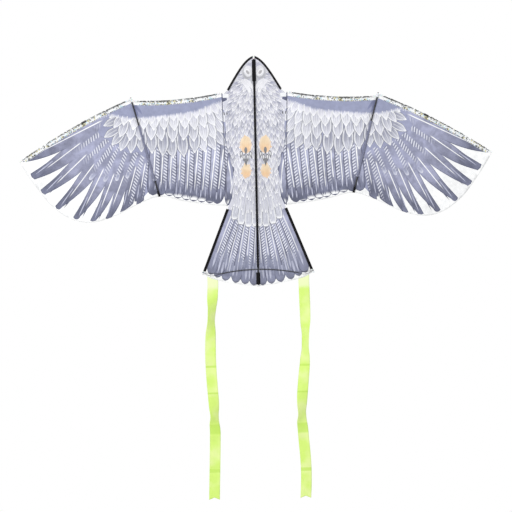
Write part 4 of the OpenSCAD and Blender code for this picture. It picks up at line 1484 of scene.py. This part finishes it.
@dataclass
class Sail:
    """The printed sail: a body panel and two wings, each wing in two pieces that meet at its batten.

    Sizes are in millimetres. Spans say over which distances from the seam, the batten and the leading edge
    the cloth comes free of them.
    """

    plan: SailPlan
    finish: Material
    cloth_t: float = 0.3
    billow: float = 6.0
    billow_spans: Points = ((4, 75), (5, 75), (9, 75))
    flutter: float = 2.4
    flutter_mm: float = 92.0
    flutter_spans: Points = ((6, 55), (6, 60), (12, 60))
    flutter_reach: float = 85.0
    ripple_share: float = 0.4
    ripple_mm: float = 9.0
    wrist_pull: float = 0.7
    wrist_rays: float = 17.0
    wrist_reach: float = 110.0
    behind_batten: float = 2.75
    batten_lift_mm: float = 6.0
    crease: float = 2.2
    crease_mm: float = 6.5
    crease_end: float = 40.0
    crease_spans: Points = ((3, 22), (4, 22), (9, 28))
    creases: tuple[tuple[Point, Point], ...] = (
        ((92, -205), (262, -40)), ((112, 10), (214, -190)), ((232, -20), (150, -205)),
        ((236, -182), (352, -96)), ((312, 8), (432, -205)), ((322, -10), (505, -150)))
    body_billow: float = 1.5
    below_seam: float = 60.0
    tail_half: float = 124.2
    fold_start: float = 0.2
    fold_end: float = 9.0
    half: dict[str, Array] = field(default_factory=dict)

    def depth(self, places: Array, out: Array) -> Array:
        """How far the cloth stands behind its mid plane, between the rods that hold it.

        Args:
            places: The places in X and Z.
            out: How far each lies outside the seam.

        Returns:
            The depths in millimetres, towards the belly side.
        """
        plan = self.plan
        lead = distance_to(plan.leading_edge(0.0), places)[0]
        trail, along = distance_to(plan.trailing_edge(), places)
        batten = np.abs(plan.beyond_batten(places))
        held = (out, batten, lead)
        from_wrist = places - np.array(plan.wrist)
        far = np.linalg.norm(from_wrist, axis=1)
        rays = np.sin(np.arctan2(from_wrist[:, 1], from_wrist[:, 0]) * self.wrist_rays)
        pull = (self.wrist_pull * rays * np.exp(-far / self.wrist_reach)
                * ramps(((16, 60), (4, 25), (9, 30)), (far, batten, lead)))
        for a, b in self.creases:
            off, down = distance_to(np.array([a, b]), places)
            size = math.dist(a, b)
            full = ramp(0, self.crease_end, down) * ramp(size, size - self.crease_end, down)
            pull = pull + (self.crease * np.exp(-(off / self.crease_mm) ** 2) * full
                           * ramps(self.crease_spans, held))
        wave = (np.sin(math.tau * along / self.flutter_mm + 0.8)
                + self.ripple_share * np.sin(along / self.ripple_mm))
        loose = ramp(self.flutter_reach, 0, trail) * ramps(self.flutter_spans, held)
        wing = (self.billow * ramps(self.billow_spans, held) + self.flutter * loose * wave
                + pull * ramp(4, 30, out) + self.behind_batten * np.exp(-(batten / self.batten_lift_mm) ** 2))
        # The body is calm beside the spine, beside the seams and where the shoulder spreader lies behind it.
        x, z = places.T
        calm = ramps(((8, 40), (4, 26), (-2, -24)), (np.abs(z), x, out))
        body = self.body_billow * calm * (0.6 + 0.4 * np.sin(z / 24.0))
        return np.where(out > 0, wing, body)

    def shell(self, name: str, picked: Array, *sides: Side) -> bpy.types.Object:
        """Makes a closed thin cloth from some triangles of the half sail.

        Args:
            name: The piece's name.
            picked: Which triangles belong to the piece.
            *sides: The halves of the kite it covers.

        Returns:
            The cloth with its print on both faces.
        """
        used, index = np.unique(self.half["triangles"][picked], return_inverse=True)
        flat = self.half["points"][used]
        out = self.plan.beyond_seam(flat)
        y = self.depth(flat, np.maximum(out, 1e-6) if len(sides) == 1 else np.minimum(out, 0))
        points, faces, rows = [], [], []
        for side in sides:
            # The body's two halves share the points on its middle line.
            spot = np.where(np.abs(flat[:, 0]) < 1e-4, 0, len(points)) + np.arange(len(flat))
            points += [(side.value * x, SAIL_Y + d, z) for (x, z), d in zip(flat, y)]
            order = (0, 1, 2) if side is Side.RIGHT else (2, 1, 0)
            faces += [tuple(corners[list(order)]) for corners in spot[index.reshape(-1, 3)]]
            rows += [(i, order) for i in range(len(index.reshape(-1, 3)))]
        return self.close(name, np.array(points), faces, rows, picked)

    def close(self, name: str, points: Array, faces: list[tuple[int, ...]],
              rows: list[tuple[int, tuple[int, ...]]], picked: Array) -> bpy.types.Object:
        """Gives a single layer its thickness, its rim and its print.

        Args:
            name: The piece's name.
            points: The layer's points in millimetres.
            faces: Its triangles, seen from the frame side.
            rows: The triangle of the print that each face shows, and the order of its corners.
            picked: Which triangles of the print belong to the piece.

        Returns:
            The closed cloth.
        """
        n = len(points)
        front, back = (points + np.array([0.0, y, 0.0]) for y in (-self.cloth_t / 2, self.cloth_t / 2))
        uses = dict.fromkeys((a, b) for f in faces for a, b in zip(f, (*f[1:], f[0])))
        rim = [(a, b) for a, b in uses if (b, a) not in uses]
        shut = [*faces, *(tuple(i + n for i in reversed(f)) for f in faces),
                *((b, a, a + n, b + n) for a, b in rim)]
        cloth = add_mesh(name, np.vstack([front, back]), shut)
        mesh = cloth.data
        mesh.polygons.foreach_set("use_smooth", [i < 2 * len(faces) for i in range(len(shut))])
        order = np.array([[3 * i + c for c in corners] for i, corners in rows])
        order = np.concatenate([order.ravel(), order[:, ::-1].ravel()])
        white = [*linear(LOOKS["cloth"].tone)[:3], 0.0]
        bare = {"share": [0.0, 0.0], "mm": [0.0, 0.0], "tone": white, "shade": white, "marks": [0.0] * 4,
                "spans": [0.0, 0.0, 0.0, 1.0]}
        for key, plain in bare.items():
            values = np.vstack([self.half[key][picked].reshape(-1, len(plain))[order],
                                np.tile(plain, (4 * len(rim), 1))])
            if len(plain) == 2:
                layer, word = mesh.uv_layers.new(name=f"feather_{key}"), "uv"
            else:
                layer, word = mesh.attributes.new(key, "FLOAT_COLOR", "CORNER"), "color"
            layer.data.foreach_set(word, values.astype(np.float32).ravel())
        mesh.materials.append(self.finish)
        return cloth

    def build(self) -> None:
        plan = self.plan
        self.half = Plumage(plan).arrange()
        corners = self.half["points"][self.half["triangles"]]
        middle = corners.mean(axis=1)
        x, z = middle.T
        foot = plan.seam_foot[1]
        on_wing = (plan.beyond_seam(middle) > 0) & (z > foot - self.below_seam) & (z <= plan.shoulder[1])
        on_wing &= (z >= foot) | (x >= self.tail_half)
        outer = plan.beyond_batten(middle) > 0
        a, b = (corners[:, i] - corners[:, 0] for i in (1, 2))
        body = self.shell("body_sail", ~on_wing, Side.RIGHT, Side.LEFT)
        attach(body, "fuselage")
        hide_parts("body_panel")
        for side in Side:
            word = side.word
            for far, name, bodies, flat in (
                    (False, "inner", ("fuselage", f"{word}_inner_wing"), (0.222, 0.268)),
                    (True, "outer", (f"{word}_inner_wing", f"{word}_outer_wing"), (0.33, 0.29))):
                picked = on_wing & (outer == far)
                cloth = self.shell(f"{name}_sail_{word}", picked, side)
                ends = (plan.batten_foot, plan.wrist) if far else (plan.seam_foot, plan.shoulder)
                a, b = (np.array(p) for p in ends)
                off = -left_of(unit(b - a))
                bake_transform(cloth)
                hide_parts(f"{name}_panel_{word}")


@dataclass
class LeadingSleeves:
    """The strips of film folded round the leading edge rods and sewn to the cloth, in millimetres."""

    plan: SailPlan
    finish: Material
    flap: float = 9.0
    round_rod: float = 2.05
    flat_y: float = 0.42
    inner_ends: Point = (14.0, 16.0)
    outer_ends: Point = (16.0, 10.0)
    row_mm: float = 2.5
    pucker: float = 0.14
    wobble: float = 0.35
    other_face_mm: float = 500.0

    def profile(self) -> list[Point]:
        """The fold's section from one flap round the rod to the other.

        Returns:
            Its points, as depth behind the rod and Y.
        """
        bow = [(self.round_rod * math.cos(a), self.round_rod * math.sin(a))
               for a in np.radians(np.linspace(52, 308, 13))]
        back = [(self.flap, self.flat_y), (7.4, self.flat_y), (5.6, self.flat_y), (4.0, 0.56), (2.6, 1.02)]
        return [*back, *bow, *((d, -y) for d, y in reversed(back))]

    def span(self, inner: bool) -> Point:
        """Where along its arc a strip starts and ends."""
        near, far = self.inner_ends if inner else self.outer_ends
        return near, self.plan.arc_length(inner) - far

    def build(self) -> None:
        """Makes the four strips in place of their solids."""
        for side in Side:
            for inner in (True, False):
                self.build_strip(side, inner)

    def build_strip(self, side: Side, inner: bool) -> None:
        """Makes one strip, with small puckers where it is sewn.

        Args:
            side: The wing it is on.
            inner: Whether it is the one between shoulder and wrist.
        """
        part = "inner" if inner else "outer"
        first, last = self.span(inner)
        rows = round((last - first) / self.row_mm)
        section = self.profile()
        points, places = [], []
        for i in range(rows + 1):
            s = first + (last - first) * i / rows
            for k, (d, y) in enumerate(section):
                loose = min(1.0, max(0.0, (d - 2.0) / 5.0))
                ripple = (math.sin(s * 0.52 + 1.3 * k) * 0.6
                          + math.sin(s * 0.23 + 2.0 * math.copysign(1, y)) * 0.4)
                x, z = self.plan.on_arc(inner, s, d + self.wobble * loose * math.sin(s * 0.9 + k))
                points.append((side.value * x, SAIL_Y + y + math.copysign(self.pucker * loose, y) * ripple, z))
                places.append((d, s + (0.0 if y < 0 else self.other_face_mm)))
        faces = grid_faces(rows, len(section) - 1)
        if side is Side.LEFT:
            faces = [f[::-1] for f in faces]
        film = add_mesh(f"film_{part}_sleeve_{side.word}", np.array(points), faces)
        add_uv(film.data, "film_mm", places)
        film.data.materials.append(self.finish)
        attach(film, f"{side.word}_{part}_wing")
        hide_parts(f"{part}_sleeve_{side.word}")
        wide = sum(math.dist(a, b) for a, b in zip(section[:-1], section[1:]))


@dataclass
class Ribbons:
    """The two streamers: flat ribbon sewn behind the tail, hanging, turning on itself here and there.

    Sizes are in millimetres. Folds are shares of the hang, their reach and a turn in degrees; sways are
    turns over the hang, phase and share of the width; creases are shares of the hang and heights.
    """

    finish: Material
    wide: float = 25.0
    thick: float = 0.25
    off_centre: float = 106.0
    hem_top: float = -372.5
    top: float = -398.9
    hang: float = 500.0
    plane_y: float = 0.275
    notch: float = 5.0
    folds: dict[Side, tuple[Place, ...]] = field(default_factory=lambda: {
        Side.LEFT: ((0.15, 0.09, 48.0), (0.61, 0.06, 38.0)), Side.RIGHT: ((0.27, 0.11, -52.0), (0.6, 0.06, 40.0))})
    sways: dict[Side, tuple[Place, ...]] = field(default_factory=lambda: {
        Side.LEFT: ((0.9, 0.52, 0.2), (1.9, 0.1, 0.05)), Side.RIGHT: ((1.35, 0.98, 0.17), (2.2, 0.4, 0.04))})
    drift: float = -0.36
    creases: Points = ((0.645, 2.6), (0.7, -2.4), (0.857, 2.0), (0.38, 1.2), (0.5, -1.2))
    crease_reach: float = 0.03
    curl: float = 0.9
    ruck: float = 0.45
    ruck_mm: float = 7.0
    across: int = 12
    rows: int = 220
    apart_mm: float = 80.0

    def turn(self, side: Side, s: float) -> float:
        """How far the ribbon has turned about its length, in radians, at a share of its hang."""
        total = sum(angle * math.exp(-((s - at) / reach) ** 2) for at, reach, angle in self.folds[side])
        return math.radians(total * min(1.0, s / 0.1))

    def sway(self, side: Side, s: float) -> float:
        """How far the ribbon's middle has moved sideways at a share of its hang."""
        waves = sum(size * (math.sin(math.tau * (turns * s + phase)) - math.sin(math.tau * phase))
                    for turns, phase, size in self.sways[side])
        return self.wide * (waves + self.drift * s)

    def build(self) -> None:
        """Makes both streamers in place of their solids."""
        for side in Side:
            self.build_ribbon(side)

    def place(self, side: Side, c: float, down: float) -> Place:
        """A place on a ribbon.

        Args:
            side: Which ribbon it is.
            c: How far across it from its middle.
            down: How far down it from where it starts to hang, less than zero in the hem.

        Returns:
            The place in the row frame.
        """
        y0 = SAIL_Y + self.plane_y
        if down <= 0:
            return (side.value * self.off_centre + c, y0, self.top - down)
        s = down / self.hang
        calm = min(1.0, s / 0.08)
        a = self.turn(side, s)
        edge = abs(c) / self.wide * 2
        end = max(0.0, (s - 0.9) / 0.1)
        bent = sum(size * max(0.0, 1 - abs(s - at) / self.crease_reach) for at, size in self.creases)
        curl = self.curl * (edge * edge - 0.4) * math.sin(math.tau * (2.3 * s + 0.2 * side.value)) * calm
        ruck = self.ruck * edge * math.sin(down / self.ruck_mm + 2 * math.copysign(1, c)) * calm
        lift = curl + ruck + bent
        x = side.value * self.off_centre + self.sway(side, s) + c * math.cos(a) - lift * math.sin(a)
        return (x, y0 + c * math.sin(a) + lift * math.cos(a), self.top - down + end * self.notch * (1 - edge))

    def build_ribbon(self, side: Side) -> None:
        """Makes one streamer, flat in its hem and turning and swaying below it.

        Args:
            side: Which one it is.
        """
        points, places = [], []
        hem = self.top - self.hem_top
        for i in range(self.rows + 1):
            down = hem + (self.hang - hem) * i / self.rows
            for k in range(self.across + 1):
                c = self.wide * (k / self.across - 0.5)
                points.append(self.place(side, c, down))
                places.append((c + (0.0 if side is Side.RIGHT else self.apart_mm), down))
        faces = [(f[0], *f[:0:-1]) for f in grid_faces(self.rows, self.across)]
        ribbon = add_mesh(f"ribbon_{side.word}", np.array(points), faces)
        add_uv(ribbon.data, "ribbon_mm", places)
        ribbon.data.materials.append(self.finish)
        shell = ribbon.modifiers.new("thickness", "SOLIDIFY")
        shell.thickness, shell.offset = self.thick * MM, 0.0
        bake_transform(ribbon)
        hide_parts(f"streamer_{side.word}", f"streamer_hem_{side.word}")


@dataclass
class StitchRow:
    """A row of sewing stitches along a line: short raised dashes of thread, in millimetres."""

    name: str
    line: Array
    body: str
    finish: Material
    pitch: float = 4.6
    dash: float = 3.2
    wide: float = 0.9
    high: float = 0.4
    look_ahead: float = 0.5
    # A dash's sections: their place along it and their share of its full size, and how many corners each has.
    SECTIONS: ClassVar[Points] = ((-0.5, 0.35), (-0.36, 0.85), (0.0, 1.0), (0.36, 0.85), (0.5, 0.35))
    CORNERS: ClassVar[int] = 6

    def build(self) -> None:
        """Makes the row and lets it ride on its body."""
        long = lengths(self.line)
        count = max(1, int(long[-1] / self.pitch))
        n, last = self.CORNERS, len(self.SECTIONS) - 1
        sides = [(n * k + j, n * k + (j + 1) % n) for k in range(last) for j in range(n)]
        dash = [*((a, b, b + n, a + n) for a, b in sides), range(n)[::-1], range(n * last, n * last + n)]
        up = np.array([0.0, 1.0, 0.0])
        points: list[Array] = []
        faces: list[list[int]] = []
        for s in (np.arange(count) + 0.5) * long[-1] / count:
            here, ahead, back = (point_at(self.line, long, v) for v in (
                s, min(s + self.look_ahead, long[-1]), max(s - self.look_ahead, 0)))
            faces += [[len(points) + k for k in f] for f in dash]
            way = unit(ahead - back)
            side = unit(np.cross(way, up))
            points += [here + way * self.dash * share + side * math.cos(a) * self.wide / 2 * full
                       + up * math.sin(a) * self.high / 2 * full
                       for share, full in self.SECTIONS for a in np.linspace(0, math.tau, n + 1)[:-1]]
        row = add_mesh(self.name, np.array(points), faces)
        row.data.materials.append(self.finish)
        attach(row, self.body)


@dataclass
class Sewing:
    """All the rows of stitches that show on the kite: how far in from an edge, and how far out from the sail."""

    plan: SailPlan
    sleeves: LeadingSleeves
    thread: Material
    sleeve_row: float = 7.9
    sleeve_y: float = 0.6
    sleeve_points: int = 60
    binding_row: float = 2.5
    tape_y: float = -0.72
    spine_x: float = 2.1
    spine_z: Point = (-358.0, 73.0)
    tail_row: float = 3.4
    tail_y: float = -0.5
    tail_shares: Point = (0.03, 0.95)

    def build(self) -> None:
        """Sews the film, the head binding, the spine tape and the tail sleeves on both sides."""
        plan = self.plan
        top, corner = np.array(plan.tail_top), np.array(plan.tail_corner)
        tail = [top * (1 - share) + corner * share + plan.tail_inward(self.tail_row)
                for share in self.tail_shares]
        spine = [(self.spine_x, z) for z in self.spine_z]
        for side in Side:
            for inner in (True, False):
                part = "inner" if inner else "outer"
                first, last = self.sleeves.span(inner)
                flat = [plan.on_arc(inner, s, self.sleeve_row)
                        for s in np.linspace(first + 1, last - 1, self.sleeve_points)]
                for face, y in (("front", -self.sleeve_y), ("back", self.sleeve_y)):
                    self.sew(f"{part}_film_stitches_{face}", side, flat, y, f"{side.word}_{part}_wing")
            self.sew("binding_stitches", side, plan.head_edge(self.binding_row), self.tape_y, "fuselage")
            self.sew("spine_stitches", side, spine, self.tape_y, "fuselage")
            self.sew("tail_sleeve_stitches", side, tail, self.tail_y, "fuselage")

    def sew(self, name: str, side: Side, flat: Sequence[Any], y: float, body: str) -> None:
        """Sews one row, from its line on the right half in X and Z, y out from the sail."""
        line = np.array([(side.value * x, SAIL_Y + y, z) for x, z in flat])
        StitchRow(f"{name}_{side.word}", line, body, self.thread).build()


@dataclass
class SolidDressing:
    """Gives every solid that stays in sight its finish, and softens the edges of some."""

    edge_mm: float = 0.25
    edge_deg: float = 42.0
    softened: tuple[str, ...] = ("vinyl", "black_ferrule", "brass", "black_tape")

    def build(self, shared: dict[str, Material]) -> None:
        """Dresses the solids by their slots.

        Args:
            shared: The finishes that other pieces have too, by slot.
        """
        ferrule = SoftPlastic("abs_black_moulded", "#0d0d0f", "#19191c", 0.22, 0.32, 0.0)
        finishes = shared | {"black_tape": WovenTape().make(), "vinyl": SoftPlastic().make(),
                             "black_ferrule": ferrule.make(), "brass": PressedBrass().make(),
                             "white_patch": PlainCloth().make()}
        for name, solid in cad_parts.items():
            slot = solid.data.materials[0].name
            finish = self.rod_finish(name) if slot == "glass_fibre_rod" else finishes[slot]
            solid.data.materials[0] = finish
            if slot in self.softened and not solid.hide_render:
                self.soften(solid)
            log.info("%s dressed in %s", name, finish.name)

    def rod_finish(self, name: str) -> Material:
        """The rod finish whose streaks run along a rod.

        Args:
            name: The rod's node.

        Returns:
            Its material.
        """
        low, high = (Vector(p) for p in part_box(name))
        way = (high - low).normalized()
        # Along X, rods on the right fall and rods on the left rise, and the battens go the other way.
        if name.endswith("_right") != name.startswith("batten"):
            way.z = -way.z
        return PultrudedRod(f"glass_fibre_pultruded_{name}", tuple(way)).make()

    def soften(self, solid: bpy.types.Object) -> None:
        """Rounds a solid's edges a little so that they catch the light.

        Args:
            solid: The solid.
        """
        weld = solid.modifiers.new("weld", "WELD")
        weld.merge_threshold = 1e-6
        bevel = solid.modifiers.new("rounded_edges", "BEVEL")
        bevel.width, bevel.segments = self.edge_mm * MM, 2
        bevel.limit_method, bevel.angle_limit = "ANGLE", math.radians(self.edge_deg)
        bevel.harden_normals = False


@dataclass
class Studio:
    """Plain soft light, a white surround, a pale floor and the camera of the photograph."""

    frame_mm: float = 1193.0
    centre_mm: Point = (-4.2, -333.0)
    roll_deg: float = 1.2
    lens: float = 150.0
    sensor: float = 36.0
    floor_z: float = -1500.0
    floor_r: float = 3200.0
    floor_corners: int = 96
    key: float = 58.0
    back_share: float = 0.8
    lamp_m: float = 1.8
    lamps_at: tuple[Place, Place] = ((-1.1, -2.6, 1.5), (1.2, 2.6, 1.4))
    lit_place: Place = (0.0, 0.0, -0.2)
    surround: float = 0.6

    def build(self) -> None:
        """Makes the light, the floor and the camera."""
        bpy.context.scene.view_settings.view_transform = "Standard"
        self.add_surround()
        self.add_lamp("key_softbox", self.lamps_at[0], self.key)
        self.add_lamp("back_softbox", self.lamps_at[1], self.key * self.back_share)
        self.add_floor()
        self.add_camera()

    def add_surround(self) -> None:
        """Adds the surround, white to look at or to see mirrored, and less bright as a light."""
        world = bpy.data.worlds.new("white_surround")
        world.use_nodes = True
        bpy.context.scene.world = world
        tree = world.node_tree
        path = add_node(tree, "LightPath")
        seen = path.outputs["Is Camera Ray"]
        for word in ("Is Glossy Ray", "Is Transmission Ray"):
            seen = add_node(tree, "Math.MAXIMUM", seen, path.outputs[word])
        level = add_node(tree, "MapRange", seen, 0.0, 1.0, self.surround, 1.0)
        feed(tree.nodes["Background"], (1.0, 1.0, 1.0, 1.0), level)

    def add_lamp(self, name: str, place: Place, watts: float) -> None:
        """Adds a square soft lamp that looks at the kite's middle.

        Args:
            name: Its name.
            place: Where it stands, in metres.
            watts: How strong it is.
        """
        lamp = bpy.data.lights.new(name, "AREA")
        lamp.energy, lamp.size = watts, self.lamp_m
        thing = bpy.data.objects.new(name, lamp)
        thing.location = place
        thing.rotation_mode = "QUATERNION"
        thing.rotation_quaternion = (Vector(self.lit_place) - thing.location).to_track_quat("-Z", "Y")
        bpy.context.scene.collection.objects.link(thing)

    def add_floor(self) -> None:
        """Adds the pale floor, a wide disc well below the hanging kite."""
        ring = [(self.floor_r * math.cos(a), self.floor_r * math.sin(a), self.floor_z)
                for a in np.linspace(0, math.tau, self.floor_corners + 1)[:-1]]
        floor = add_mesh("floor", np.array(ring), [list(range(len(ring)))], smooth=False)
        floor.data.materials.append(PaintedFloor().make())

    def add_camera(self) -> None:
        """Adds the camera, square on to the frame side."""
        data = bpy.data.cameras.new("camera")
        data.lens, data.sensor_width = self.lens, self.sensor
        camera = bpy.data.objects.new("camera", data)
        away = self.frame_mm * self.lens / data.sensor_width
        camera.location = (self.centre_mm[0] * MM, (SAIL_Y - away) * MM, self.centre_mm[1] * MM)
        camera.rotation_euler = (math.pi / 2, math.radians(self.roll_deg), 0.0)
        data.clip_end = 100.0
        bpy.context.scene.collection.objects.link(camera)
        bpy.context.scene.camera = camera


def main() -> None:
    """Builds the kite's pieces in order."""
    logging.basicConfig(level=logging.INFO, format="%(name)s: %(message)s")
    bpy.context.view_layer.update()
    Studio().build()
    plan = SailPlan()
    ribbon, film, black = TaffetaRibbon().make(), IridescentFilm().make(), TwistedThread().make()
    pale = TwistedThread("polyester_thread_twisted_pale", "#f2f6e4", "#c9d2a8").make()
    seam = TwistedThread("polyester_seam_rolled", "#8b8da2", "#4b4d60", 1.6).make()
    # The casing over the batten is printed cloth; its dark grey is painted shade along the rod under it.
    casing = PlainCloth("polyester_casing_dyed", "#84879f", "#595c73").make()
    sleeves = LeadingSleeves(plan, film)
    for piece in (Sail(plan, PrintedPolyester().make()), sleeves, Ribbons(ribbon), Sewing(plan, sleeves, black)):
        piece.build()
        log.info("%s done", type(piece).__name__)
    SolidDressing().build({"ribbon": ribbon, "clear_film": film, "black_cord": black, "pale_thread": pale,
                           "seam_thread": seam, "printed_sail": casing})


if __name__ == "__main__":
    main()
